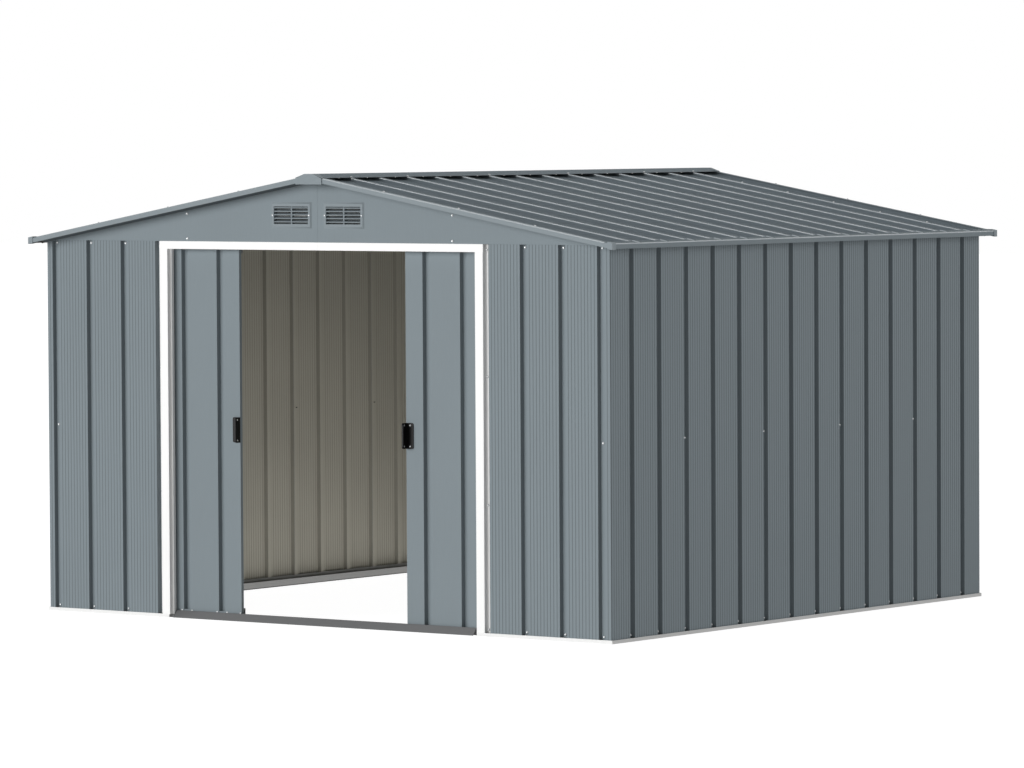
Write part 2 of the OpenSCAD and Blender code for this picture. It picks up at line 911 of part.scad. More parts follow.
// End cap: a plate over the meeting of the verge trims, with a hood that carries on the ridge cap
module ridge_end_cap() {
    hood = rib_plane(end_cap_half) + trim_t;
    top = ridge_top_z + trim_t;
    foot = top - end_cap_h;
    depth = verge_flange + trim_t;
    color(paint_grey) {
        translate([0, -verge_front - seat_gap, 0])
            rotate([90, 0, 0])
                linear_extrude(end_cap_t)
                    polygon([
                        [-end_cap_half, foot],
                        [end_cap_half, foot],
                        [end_cap_half, foot + end_cap_shoulder],
                        [ridge_top_half, top],
                        [-ridge_top_half, top],
                        [-end_cap_half, foot + end_cap_shoulder]
                    ]);
        translate([0, depth / 2 - verge_front - seat_gap - trim_t, 0])
            across(depth)
                polygon(folded([
                    [-end_cap_half, hood],
                    [-ridge_top_half, ridge_top_z],
                    [ridge_top_half, ridge_top_z],
                    [end_cap_half, hood]
                ], trim_t));
    }
}

module ridge_end_caps() {
    both_ends() ridge_end_cap();
}

// Doors are drawn closing to the right, with the leading edge at x = 0, and mirrored for the right door
module door_leaf() {
    ribs = [for (i = [door_ribs - 1 : -1 : 0]) -door_first_rib - i * rib_pitch];
    color(paint_grey)
        on_wall(FRONT)
            translate([0, door_set_back, door_foot])
                linear_extrude(door_top - door_foot)
                    polygon(folded(concat(
                        [[-door_w, door_fold], [-door_w, 0]],
                        [for (c = ribs) each rib(c)],
                        [[0, 0], [0, door_fold]]
                    ), sheet_t));
}

// Channels along the door's foot and head, against the backs of its ribs
module door_rails() {
    front = door_back;
    back = door_back + door_rail_depth;
    length = door_w - 2 * (sheet_t + touch);
    color(galvanised)
        on_wall(FRONT)
            translate([-door_w / 2, 0, 0]) {
                along(length)
                    polygon(folded([
                        [front, door_foot + door_rail_h],
                        [front, door_foot],
                        [back, door_foot],
                        [back, door_foot + door_rail_h]
                    ], rail_t));
                along(length)
                    polygon(folded([
                        [back, door_top - door_rail_h],
                        [back, door_top],
                        [front, door_top],
                        [front, door_top - door_rail_h]
                    ], rail_t));
            }
}

// Gliders: T-shaped hangers that run on the head channel's lips, and tongues in the lower track
module door_gliders() {
    stem = 2;
    head = 9;
    tongue = 3;
    seat = channel_foot + rail_t + hanger_gap;
    crown = channel_top - rail_t - hanger_room;
    color(moulded_black)
        on_wall(FRONT)
            for (x = [-hanger_inset, hanger_inset - door_w])
                translate([x, door_middle, 0]) {
                    along(hanger_len)
                        polygon([
                            [-stem, door_top], [stem, door_top], [stem, seat], [head, seat],
                            [head, crown], [-head, crown], [-head, seat], [-stem, seat]
                        ]);
                    translate([-hanger_len / 2, -tongue, track_h / 2])
                        cube([hanger_len, 2 * tongue, door_foot - track_h / 2]);
                }
}

// A tab that reaches from 0 to -w, with its two far corners rounded
function tab(w, h) =
    let (r = min(handle_r, w))
    concat(
        [[0, -h / 2], [0, h / 2]],
        [for (q = [90 : 15 : 180]) [r - w, h / 2 - r] + r * [cos(q), sin(q)]],
        [for (q = [180 : 15 : 270]) [r - w, r - h / 2] + r * [cos(q), sin(q)]]
    );

// Handle: a plate on the door, a grip that stands out at its leading edge and a lip along the grip's front
module door_handle() {
    color(moulded_black)
        on_wall(FRONT)
            translate([0, door_set_back, handle_z]) {
                rotate([90, 0, 0]) linear_extrude(handle_t) polygon(tab(handle_plate, handle_h));
                translate([-handle_wall, 0, 0])
                    rotate([90, 0, 90]) linear_extrude(handle_wall) polygon(tab(handle_grip, handle_h));
                translate([0, handle_t - handle_grip, 0])
                    rotate([90, 0, 0]) linear_extrude(handle_t) polygon(tab(handle_lip, handle_h - 2 * handle_r));
            }
}

module at_left_door() {
    translate([-left_door_at, 0, 0]) children();
}

module at_right_door() {
    translate([right_door_at, 0, 0]) mirror([1, 0, 0]) children();
}

module left_door() {
    at_left_door() door_leaf();
}

module left_door_rails() {
    at_left_door() door_rails();
}

module left_door_gliders() {
    at_left_door() door_gliders();
}

module left_handle() {
    at_left_door() door_handle();
}

module right_door() {
    at_right_door() door_leaf();
}

module right_door_rails() {
    at_right_door() door_rails();
}

module right_door_gliders() {
    at_right_door() door_gliders();
}

module right_handle() {
    at_right_door() door_handle();
}

base_rail_left();
base_rail_right();
base_rail_rear();
base_rails_front();
bottom_door_track();
door_sill();
corner_sheet_front_left();
corner_sheet_front_right();
corner_sheet_rear_left();
corner_sheet_rear_right();
front_wall_left();
front_wall_right();
left_wall();
right_wall();
rear_wall();
door_jamb_left();
door_jamb_right();
door_header();
door_head_channel();
side_top_rails();
rear_top_rail();
front_gable_left();
front_gable_right();
rear_gable_left();
rear_gable_right();
front_vents();
rear_vents();
ridge_beam();
roof_purlins();
roof_left();
roof_right();
front_verge_trims();
rear_verge_trims();
eave_trims();
eave_corner_caps();
ridge_cap();
ridge_end_caps();
left_door();
left_door_rails();
left_door_gliders();
left_handle();
right_door();
right_door_rails();
right_door_gliders();
right_handle();
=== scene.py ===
"""Looks of a storage shed of roll-formed steel sheet: finishes, screws, fittings, studio and camera.

Everything is in metres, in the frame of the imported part: +X right, +Y from the doorway to the rear, +Z up.
"""

import logging
import math
from dataclasses import dataclass
from enum import Enum

import bpy
import numpy as np
from mathutils import Matrix, Vector

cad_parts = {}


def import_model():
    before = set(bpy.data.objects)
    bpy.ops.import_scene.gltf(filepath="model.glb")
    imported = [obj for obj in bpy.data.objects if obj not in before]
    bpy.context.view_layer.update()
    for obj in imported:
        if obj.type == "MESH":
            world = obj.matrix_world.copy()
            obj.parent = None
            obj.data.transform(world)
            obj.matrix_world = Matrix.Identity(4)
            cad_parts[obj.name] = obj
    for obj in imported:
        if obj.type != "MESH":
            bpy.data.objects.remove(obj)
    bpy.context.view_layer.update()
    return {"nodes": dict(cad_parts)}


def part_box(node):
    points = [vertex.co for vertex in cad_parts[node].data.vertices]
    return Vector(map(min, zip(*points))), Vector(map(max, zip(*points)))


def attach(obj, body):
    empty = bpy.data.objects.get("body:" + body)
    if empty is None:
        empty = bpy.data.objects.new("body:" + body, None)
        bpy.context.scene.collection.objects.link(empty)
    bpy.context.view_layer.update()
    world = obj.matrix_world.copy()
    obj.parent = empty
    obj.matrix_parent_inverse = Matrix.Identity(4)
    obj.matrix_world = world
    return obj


LOG = logging.getLogger("shed")
MM = 0.001
SIDES = (("right", 1), ("left", -1))
WHITE = (1, 1, 1, 1)
# A soft noise lies nearly all between these two levels.
NOISE_LOW, NOISE_HIGH = 0.3, 0.7
FROM_NOISE = {"From Min": NOISE_LOW, "From Max": NOISE_HIGH}

Array = np.ndarray
Material = bpy.types.Material
Node = bpy.types.Node
Outputs = bpy.types.NodeOutputs
Tree = bpy.types.NodeTree
Numbers = tuple[float, ...]
Points = tuple[Numbers, ...]


class Side(Enum):
    """How a sheet's coated face is told from its backing."""

    WALL = "the face that looks away from the inside of the shed"
    ROOF = "the face that looks up"


class Body(str, Enum):
    """The rigid bodies that pieces ride on."""

    SHED = "shed"
    LEFT = "left_leaf"
    RIGHT = "right_leaf"


class Reading(Enum):
    """What a material or the sky reads of the point that is shaded."""

    PLACE = "Object"
    NORMAL = "Normal"
    DIRECTION = "Generated"


def linear(code: str) -> tuple[float, float, float, float]:
    """Turn an sRGB hex colour into linear light.

    Args:
        code: six hex digits after a hash sign.

    Returns:
        Linear red, green and blue, with an alpha of one.
    """
    srgb = np.array([int(code[i : i + 2], 16) for i in (1, 3, 5)]) / 255
    low = srgb / 12.92
    high = ((srgb + 0.055) / 1.055) ** 2.4
    red, green, blue = np.where(srgb <= 0.04045, low, high)
    return float(red), float(green), float(blue), 1.0


def add(tree: Tree, kind: str, inputs: dict | tuple = (), operation: str = "", **settings: object) -> Node:
    """Add a node to a tree, with its settings, input values and links.

    Args:
        tree: the node tree.
        kind: the node's type, without the word that all types of shader nodes start with.
        inputs: by name, index or order, a value, a socket that feeds it or a node whose first output does.
        operation: what the node works out, where its type has a choice.
        settings: other properties of the node itself.

    Returns:
        The new node.
    """
    node = tree.nodes.new(f"ShaderNode{kind}")
    if operation:
        node.operation = operation
    for name, value in settings.items():
        setattr(node, name, value)
    for key, value in inputs.items() if isinstance(inputs, dict) else enumerate(inputs):
        source = value.outputs[0] if isinstance(value, Node) else value
        if isinstance(source, bpy.types.NodeSocket):
            tree.links.new(source, node.inputs[key])
        else:
            node.inputs[key].default_value = source
    return node


def axes(tree: Tree, reading: Reading) -> Outputs:
    """X, Y and Z of what is read of the shaded point."""
    return add(tree, "SeparateXYZ", (add(tree, "TexCoord").outputs[reading.value],)).outputs


def per_mm(size: float) -> float:
    """Scale of a texture whose features are about size millimetres, on coordinates in metres."""
    return 1 / (size * MM)


@dataclass(frozen=True)
class Finish:
    """A finish: a named material made of nodes on a Principled shader."""

    name: str
    face: str

    def looks(self, tree: Tree) -> dict:
        """Work out the shader's inputs, which each finish does in its own way.

        Args:
            tree: the material's tree.

        Returns:
            The inputs by name.
        """
        raise NotImplementedError

    def material(self) -> Material:
        """Build the material.

        Returns:
            The material.
        """
        made = bpy.data.materials.new(self.name)
        made.use_nodes = True
        tree = made.node_tree
        tree.nodes.clear()
        add(tree, "OutputMaterial", {"Surface": add(tree, "BsdfPrincipled", self.looks(tree))})
        return made

    def shades(self, tree: Tree, factor: Node, code: str, spread: float) -> Node:
        """Make a colour a little darker and lighter with a noise.

        Args:
            tree: the material's tree.
            factor: the noise.
            code: the colour in the middle, as a hex value.
            spread: the share by which the colour goes down and up.

        Returns:
            The node that gives the colour.
        """
        middle = np.array(linear(code)[:3])
        ramp = add(tree, "ValToRGB", {"Fac": factor})
        stops = ((NOISE_LOW, 1 - spread), (NOISE_HIGH, 1 + spread))
        for element, (at, share) in zip(ramp.color_ramp.elements, stops):
            element.position = at
            element.color = (*np.minimum(middle * share, 1), 1)
        return ramp


@dataclass(frozen=True)
class CoilCoat(Finish):
    """Coil-coated steel sheet: a matt polyester paint on the outside and a taupe backing coat inside.

    The paint is rolled on, so it is even, with a very fine grain that follows the coil. The fine rolled
    grooves of the wall sheets are darkened with painted shade.
    """

    back: str
    side: Side
    half_width: float
    half_depth: float
    grooved: bool = False
    pitch: float = 0.200
    groove_pitch: float = 0.017
    flat: float = 0.144
    corner_flat: float = 0.132
    corner_middle: float = 0.0685
    # Share of colour kept in the grooves' painted shade.
    groove_shade_share: float = 0.70
    # Shares of colour kept in the painted shade under the overhang and on the rib flanks.
    overhang_shade_share: float = 0.38
    flank_shade_share: float = 0.76

    def insets(self, tree: Tree) -> tuple[Node, Node]:
        """How far a point lies inside the walls: half the shed's size less the distance from its middle.

        Args:
            tree: the material's tree.

        Returns:
            The distances from the side walls and from the front and rear walls, below zero outside them.
        """
        place = axes(tree, Reading.PLACE)
        across, along = (add(tree, "Math", (place[axis],), "ABSOLUTE") for axis in "XY")
        to_side = add(tree, "Math", (self.half_width, across), "SUBTRACT")
        to_end = add(tree, "Math", (self.half_depth, along), "SUBTRACT")
        return to_side, to_end

    def near_side(self, tree: Tree) -> Node:
        """One near the side walls and zero near the front and rear walls."""
        return add(tree, "Math", self.insets(tree), "LESS_THAN")

    def shade(self, tree: Tree) -> Node:
        """How much of its colour the sheet keeps on the walls' rib flanks and on the overhang's underside.

        Both are painted shade: the flanks are darkened as the shade deep in the ribs would darken them, and
        the underside of the overhang as its shadow would.

        Args:
            tree: the material's tree.

        Returns:
            The share.
        """
        normal = axes(tree, Reading.NORMAL)
        inset = add(tree, "Math", self.insets(tree), "MINIMUM")
        outside = add(tree, "Math", (inset, -2 * MM), "LESS_THAN")
        # Painted shadow under the overhang: faces that look down, outside the walls.
        down = add(tree, "Math", (normal["Z"], -0.7), "LESS_THAN")
        hidden = add(tree, "Math", (down, outside), "MULTIPLY")
        under = add(tree, "Math", (hidden, self.overhang_shade_share - 1, 1.0), "MULTIPLY_ADD")
        if self.side is Side.ROOF:
            return under
        # Painted shade on the walls' rib flanks.
        x, y = (add(tree, "Math", (normal[axis],), "ABSOLUTE") for axis in "XY")
        along = add(tree, "Mix", {"Factor": self.near_side(tree), "A": x, "B": y})
        steep = add(tree, "Math", (along, 0.5), "GREATER_THAN")
        flank = add(tree, "Math", (steep, self.flank_shade_share - 1, 1.0), "MULTIPLY_ADD")
        return add(tree, "Math", (under, flank), "MULTIPLY")

    def backing(self, tree: Tree) -> Node:
        """One on the faces that carry the backing coat and zero on the painted ones.

        A roof sheet's backing looks down. On a wall the nearest wall plane decides which of X and Y counts:
        the backing's normal points against the side that it is on.

        Args:
            tree: the material's tree.

        Returns:
            The mask.
        """
        normal = axes(tree, Reading.NORMAL)
        if self.side is Side.ROOF:
            return add(tree, "Math", (normal["Z"], -0.05), "LESS_THAN")
        place = axes(tree, Reading.PLACE)
        across, along = (add(tree, "Math", (normal[axis], place[axis]), "MULTIPLY") for axis in "XY")
        facing = add(tree, "Mix", {"Factor": self.near_side(tree), "A": along, "B": across})
        return add(tree, "Math", (facing, -2 * MM), "LESS_THAN")

    def groove_shade(self, tree: Tree) -> Node:
        """How much of its colour the sheet keeps: less in the fine grooves, which carry painted shade.

        The grooves lie at an even pitch from the middle of each flat, and the flats repeat at the ribs' pitch
        along X on the front and rear walls and along Y on the side walls. At the sides' ends the flat runs
        into the corner, and its middle is at its own distance from there.

        Args:
            tree: the material's tree.

        Returns:
            The share.
        """
        place = axes(tree, Reading.PLACE)
        along = add(tree, "Math", (place["Y"],), "ABSOLUTE")
        at_corner = add(tree, "Math", (along, self.half_depth - self.corner_flat), "GREATER_THAN")
        middle = add(tree, "Math", (at_corner, self.half_depth - self.corner_middle), "MULTIPLY")
        beside = add(tree, "Math", (along, middle), "SUBTRACT")
        way = add(tree, "Mix", {"Factor": self.near_side(tree), "A": place["X"], "B": beside})
        from_middle = add(tree, "Math", (way, self.pitch / 2), "PINGPONG")
        from_groove = add(tree, "Math", (from_middle, self.groove_pitch / 2), "PINGPONG")
        edge = {"From Min": 1.2 * MM, "From Max": 2.4 * MM, "To Min": self.groove_shade_share, "To Max": 1.0}
        share = add(tree, "MapRange", {"Value": from_groove, **edge})
        off_flat = add(tree, "Math", (from_middle, self.flat / 2), "GREATER_THAN")
        return add(tree, "Math", (share, off_flat), "MAXIMUM")

    def looks(self, tree: Tree) -> dict:
        """Work out the shader's inputs.

        Args:
            tree: the material's tree.

        Returns:
            The inputs by name.
        """
        place = add(tree, "TexCoord").outputs["Object"]
        cloud = add(tree, "TexNoise", {"Vector": place, "Scale": per_mm(420)})
        # The paint's grain is a few hundredths of a millimetre: it is drawn about 5 mm wide so that it shows.
        drawn = add(tree, "Mapping", {"Vector": place, "Scale": (1, 1, 0.08)})
        grain = add(tree, "TexNoise", {"Vector": drawn, "Scale": per_mm(5), "Detail": 3})
        fine = add(tree, "Math", (grain, 0.4), "MULTIPLY")
        both = add(tree, "Math", (cloud, 0.6, fine), "MULTIPLY_ADD")
        face = self.shades(tree, both, self.face, 0.03)
        back = self.shades(tree, both, self.back, 0.05)
        # Inputs 6 and 7 and output 2 are the Mix node's colours.
        colour = add(tree, "Mix", {0: self.backing(tree), 6: face, 7: back}, data_type="RGBA").outputs[2]
        # Painted shade on the rib flanks and under the overhang.
        share = self.shade(tree)
        # Painted shade in the fine grooves of the wall sheets.
        if self.grooved:
            share = add(tree, "Math", (share, self.groove_shade(tree)), "MULTIPLY")
        kept = add(tree, "Mix", {0: 1.0, 6: colour, 7: share}, data_type="RGBA", blend_type="MULTIPLY")
        peel = add(tree, "TexNoise", {"Vector": place, "Scale": per_mm(2.5)})
        return {
            "Base Color": kept.outputs[2],
            "Roughness": add(tree, "MapRange", {"Value": both, **FROM_NOISE, "To Min": 0.76, "To Max": 0.86}),
            "Specular IOR Level": 0.12,
            "Normal": add(tree, "Bump", {"Height": peel, "Distance": 0.03 * MM, "Strength": 0.25}),
        }


@dataclass(frozen=True)
class RailCoat(CoilCoat):
    """Coil-coated steel of the base rails: the outer ledge is white and the lip inside the walls is grey."""

    # Share of colour kept in the painted shade on the lip's foot and ledge.
    foot_shade_share: float = 0.3

    def backing(self, tree: Tree) -> Node:
        """One inside the walls' planes and zero on the outer ledge.

        Args:
            tree: the material's tree.

        Returns:
            The mask.
        """
        inset = add(tree, "Math", self.insets(tree), "MINIMUM")
        return add(tree, "Math", (inset, 2 * MM), "GREATER_THAN")

    def shade(self, tree: Tree) -> Node:
        """How much of its colour the rail keeps: less on the lip's foot and ledge, which carry painted shade.

        Args:
            tree: the material's tree.

        Returns:
            The share.
        """
        # Painted shade: a contact shadow along the lip's foot and shade on the ledge inside the walls.
        foot = add(tree, "Math", (axes(tree, Reading.PLACE)["Z"], 4 * MM), "LESS_THAN")
        ledge = add(tree, "Math", (axes(tree, Reading.NORMAL)["Z"], 0.7), "GREATER_THAN")
        either = add(tree, "Math", (foot, ledge), "MAXIMUM")
        shaded_parts = add(tree, "Math", (self.backing(tree), either), "MULTIPLY")
        return add(tree, "Math", (shaded_parts, self.foot_shade_share - 1, 1.0), "MULTIPLY_ADD")


@dataclass(frozen=True)
class StovedPaint(Finish):
    """Stoved paint on folded steel: smooth and even, with faint orange peel.

    The narrow bevels along the folds are burnished by the folding tool, so they are glossier than the flats.
    Undersides and faces that look along X can carry painted shade, and tops a colour of their own as painted
    shade.
    """

    roughness: float
    burnished: float
    # Painted shade: shares of colour kept on undersides and on faces that look along X, and a colour for
    # tops.
    under: float = 1.0
    top: str = ""
    shine: float = 0.5
    side: float = 1.0

    def folds(self, tree: Tree) -> Node:
        """One on the faces that are oblique to all three axes and zero on the flats.

        Args:
            tree: the material's tree.

        Returns:
            The mask.
        """
        normal = add(tree, "TexCoord").outputs["Normal"]
        size = add(tree, "VectorMath", (normal,), "ABSOLUTE")
        parts = add(tree, "SeparateXYZ", (size,)).outputs
        level = add(tree, "Math", (parts["X"], parts["Y"]), "MAXIMUM")
        most = add(tree, "Math", (level, parts["Z"]), "MAXIMUM")
        return add(tree, "Math", (most, 0.9), "LESS_THAN")

    def colour(self, tree: Tree, cloud: Node) -> bpy.types.NodeSocket:
        """The paint's colour, with painted shade on tops, undersides and sides.

        Args:
            tree: the material's tree.
            cloud: the noise that varies the colour.

        Returns:
            The colour socket.
        """
        normal = axes(tree, Reading.NORMAL)
        colour = self.shades(tree, cloud, self.face, 0.02)
        # Painted shade: tops take their own, darker colour.
        if self.top:
            up = add(tree, "Math", (normal["Z"], 0.9), "GREATER_THAN")
            tops = {0: up, 6: colour, 7: self.shades(tree, cloud, self.top, 0.02)}
            colour = add(tree, "Mix", tops, data_type="RGBA").outputs[2]
        # Painted shade on undersides and on faces that look along X.
        down = add(tree, "Math", (normal["Z"], -0.7), "LESS_THAN")
        under_shade_share = add(tree, "Math", (down, self.under - 1, 1.0), "MULTIPLY_ADD")
        across = add(tree, "Math", (normal["X"],), "ABSOLUTE")
        sideways = add(tree, "Math", (across, 0.7), "GREATER_THAN")
        share = add(tree, "Math", (sideways, self.side - 1, under_shade_share), "MULTIPLY_ADD")
        kept = {0: 1.0, 6: colour, 7: share}
        return add(tree, "Mix", kept, data_type="RGBA", blend_type="MULTIPLY").outputs[2]

    def looks(self, tree: Tree) -> dict:
        """Work out the shader's inputs.

        Args:
            tree: the material's tree.

        Returns:
            The inputs by name.
        """
        place = add(tree, "TexCoord").outputs["Object"]
        cloud = add(tree, "TexNoise", {"Vector": place, "Scale": per_mm(260)})
        peel = add(tree, "TexNoise", {"Vector": place, "Scale": per_mm(3)})
        rough = {"To Min": self.roughness - 0.04, "To Max": self.roughness + 0.05}
        flat = add(tree, "MapRange", {"Value": cloud, **FROM_NOISE, **rough})
        return {
            "Base Color": self.colour(tree, cloud),
            "Roughness": add(tree, "Mix", {"Factor": self.folds(tree), "A": flat, "B": self.burnished}),
            "Specular IOR Level": self.shine,
            "Normal": add(tree, "Bump", {"Height": peel, "Distance": 0.03 * MM, "Strength": 0.2}),
        }


@dataclass(frozen=True)
class Galvanised(Finish):
    """Hot-dip galvanised steel: pale grey zinc in soft-edged crystals a few millimetres to 20 mm across."""

    def looks(self, tree: Tree) -> dict:
        """Work out the shader's inputs.

        Args:
            tree: the material's tree.

        Returns:
            The inputs by name.
        """
        place = add(tree, "TexCoord").outputs["Object"]
        crystals = add(tree, "TexVoronoi", {"Vector": place, "Scale": per_mm(18)}).outputs["Color"]
        tone = add(tree, "SeparateColor", {"Color": crystals})
        return {
            "Base Color": self.shades(tree, tone, self.face, 0.12),
            "Roughness": add(tree, "MapRange", {"Value": tone, **FROM_NOISE, "To Min": 0.38, "To Max": 0.52}),
            "Metallic": 0.75,
        }


@dataclass(frozen=True)
class Moulding(Finish):
    """Injection-moulded plastic with a fine spark-eroded texture, which scatters a wide dull highlight."""

    roughness: float
    shine: float = 0.25

    def looks(self, tree: Tree) -> dict:
        """Work out the shader's inputs.

        Args:
            tree: the material's tree.

        Returns:
            The inputs by name.
        """
        place = add(tree, "TexCoord").outputs["Object"]
        cloud = add(tree, "TexNoise", {"Vector": place, "Scale": per_mm(40)})
        # The tool's texture is about 0.1 mm: it is drawn 0.8 mm wide so that it shows.
        texture = add(tree, "TexNoise", {"Vector": place, "Scale": per_mm(0.8), "Detail": 3})
        rough = {"To Min": self.roughness - 0.06, "To Max": self.roughness + 0.08}
        return {
            "Base Color": self.shades(tree, cloud, self.face, 0.08),
            "Roughness": add(tree, "MapRange", {"Value": texture, **FROM_NOISE, **rough}),
            "Specular IOR Level": self.shine,
            "Normal": add(tree, "Bump", {"Height": texture, "Distance": 0.05 * MM, "Strength": 0.4}),
        }


@dataclass(frozen=True)
class Zinc(Finish):
    """Bright zinc plate on a screw: a pale metal with a satin polish."""

    def looks(self, tree: Tree) -> dict:
        """Work out the shader's inputs.

        Args:
            tree: the material's tree.

        Returns:
            The inputs by name.
        """
        place = add(tree, "TexCoord").outputs["Object"]
        mottle = add(tree, "TexNoise", {"Vector": place, "Scale": per_mm(3)})
        rough = {"To Min": 0.38, "To Max": 0.50}
        return {
            "Base Color": self.shades(tree, mottle, self.face, 0.06),
            "Roughness": add(tree, "MapRange", {"Value": mottle, **FROM_NOISE, **rough}),
            "Metallic": 0.6,
        }


@dataclass
class Shed:
    """Sizes that the pieces are set out from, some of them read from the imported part."""

    pitch: float = 0.200
    rib_depth: float = 0.016
    trim: float = 0.0012
    eave_flange: float = 0.040
    lap_lift: float = 0.0013
    roof_rib: float = 0.0143
    roof_flat: float = 0.0169
    roof_flank: float = math.radians(50.2)
    sheet: float = 0.001
    slope: float = math.radians(10)

    def __post_init__(self) -> None:
        """Read the walls' planes and the roof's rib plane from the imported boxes."""
        low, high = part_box("left_wall")
        self.half_width = -low.x
        self.wall_foot = low.z
        self.wall_top = high.z
        self.half_depth = -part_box("front_wall_left")[0].y
        low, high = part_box("roof_right")
        self.lap_ridge = high.z + (low.x + self.roof_rib * math.sin(self.slope)) * math.tan(self.slope)
        self.roof_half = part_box("eave_trims")[1].x
        self.side_ribs = np.arange(-6.5, 7) * self.pitch

    def on_roof(self, places: Array, above_laps: float) -> Array:
        """Set points on the roof at a height over the tops of its lapped ribs, measured square to the slope.

        Args:
            places: points, of which X and Y count.
            above_laps: the height over the lapped ribs.

        Returns:
            The points with their Z set.
        """
        fall = np.abs(places[:, 0]) * math.tan(self.slope)
        return np.column_stack([places[:, :2], self.lap_ridge - fall + above_laps / math.cos(self.slope)])


@dataclass(frozen=True)
class Door:
    """A sliding door: its side, its body, the way its leading edge looks in X, and heights at its foot."""

    side: str
    body: Body
    sign: int
    screw_height: float
    plate_top: float
    first_rib: float = 0.110
    rib_count: int = 4

    def corners(self) -> tuple[Vector, Vector]:
        """The low and the high corner of the door's box."""
        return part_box(f"{self.side}_door")

    def lead(self) -> float:
        """X of the leading edge."""
        low, high = self.corners()
        return high.x if self.sign > 0 else low.x

    def ribs(self, pitch: float) -> Array:
        """X of the ribs, which are counted from the leading edge."""
        return self.lead() - self.sign * (self.first_rib + np.arange(self.rib_count) * pitch)


DOORS = (Door("left", Body.LEFT, 1, 33 * MM, 37 * MM), Door("right", Body.RIGHT, -1, 27 * MM, 30 * MM))


def surface(name: str, points: Array, faces: Array, materials: list) -> bpy.types.Object:
    """Make a mesh object of four-cornered faces.

    Args:
        name: the object's name.
        points: the vertices, one row each.
        faces: the faces' corners, one row each.
        materials: the object's materials.

    Returns:
        The object, linked to the scene.
    """
    mesh = bpy.data.meshes.new(name)
    mesh.from_pydata(points.tolist(), [], faces.tolist())
    for material in materials:
        mesh.materials.append(material)
    mesh.update()
    made = bpy.data.objects.new(name, mesh)
    bpy.context.scene.collection.objects.link(made)
    return made


@dataclass
class Piece:
    """A piece of four-cornered faces that rides on a body, and can be made mirrored."""

    points: Array
    faces: Array
    materials: list
    slots: Array | None = None
    smooth: bool = False

    def build(self, name: str, body: Body = Body.SHED, mirror: tuple[int, int, int] = (1, 1, 1)) -> None:
        """Make the piece.

        Args:
            name: the piece's name.
            body: the body that it rides on.
            mirror: the signs that X, Y and Z are multiplied by.
        """
        turned = self.faces if min(mirror) > 0 else self.faces[:, ::-1]
        made = surface(name, self.points * mirror, turned, self.materials)
        polygons = made.data.polygons
        if self.slots is not None:
            polygons.foreach_set("material_index", self.slots)
        polygons.foreach_set("use_smooth", np.full(len(polygons), self.smooth))
        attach(made, body.value)
        LOG.info("%s: %d faces", name, len(polygons))


def build_pairs(**pieces: Piece) -> None:
    """Make pieces on the right, and mirrored on the left.

    Args:
        pieces: the pieces on the right by name.
    """
    for side, sign in SIDES:
        for name, piece in pieces.items():
            piece.build(f"{side}_{name}", mirror=(sign, 1, 1))


def fold_faces(count: int = 1) -> Array:
    """Lay faces over folded strips of sheet, each an L of six points drawn from one end to the other.

    The points go round the L, each at both ends. The second is at the fold's outside and the fifth at its
    inside, so the line between them splits each end into two four-cornered faces.

    Args:
        count: how many strips there are.

    Returns:
        The faces' corners, one row each.
    """
    here = 2 * np.arange(6)
    after = np.roll(here, -1)
    sides = np.stack([here + 1, after + 1, after, here], -1)
    ends = np.array([[11, 9, 3, 1], [9, 7, 5, 3], [0, 2, 8, 10], [2, 4, 6, 8]])
    strip = np.concatenate([sides, ends])
    return (strip + 12 * np.arange(count)[:, None, None]).reshape(-1, 4)


@dataclass(frozen=True)
class ScrewSize:
    """Sizes of a screw: its washer, its hexagon head and its shank."""

    washer_radius: float
    washer_height: float
    head_radius: float
    head_height: float
    shank: float
    shank_radius: float = 2.1 * MM


WALL_SCREW = ScrewSize(5.5 * MM, 1.3 * MM, 3.7 * MM, 4.4 * MM, 12 * MM)
SMALL_SCREW = ScrewSize(3.8 * MM, 0.6 * MM, 2.8 * MM, 2.4 * MM, 6 * MM)
FLUSH_SCREW = ScrewSize(3.6 * MM, 0.2 * MM, 2.2 * MM, 0.3 * MM, 1.5 * MM)


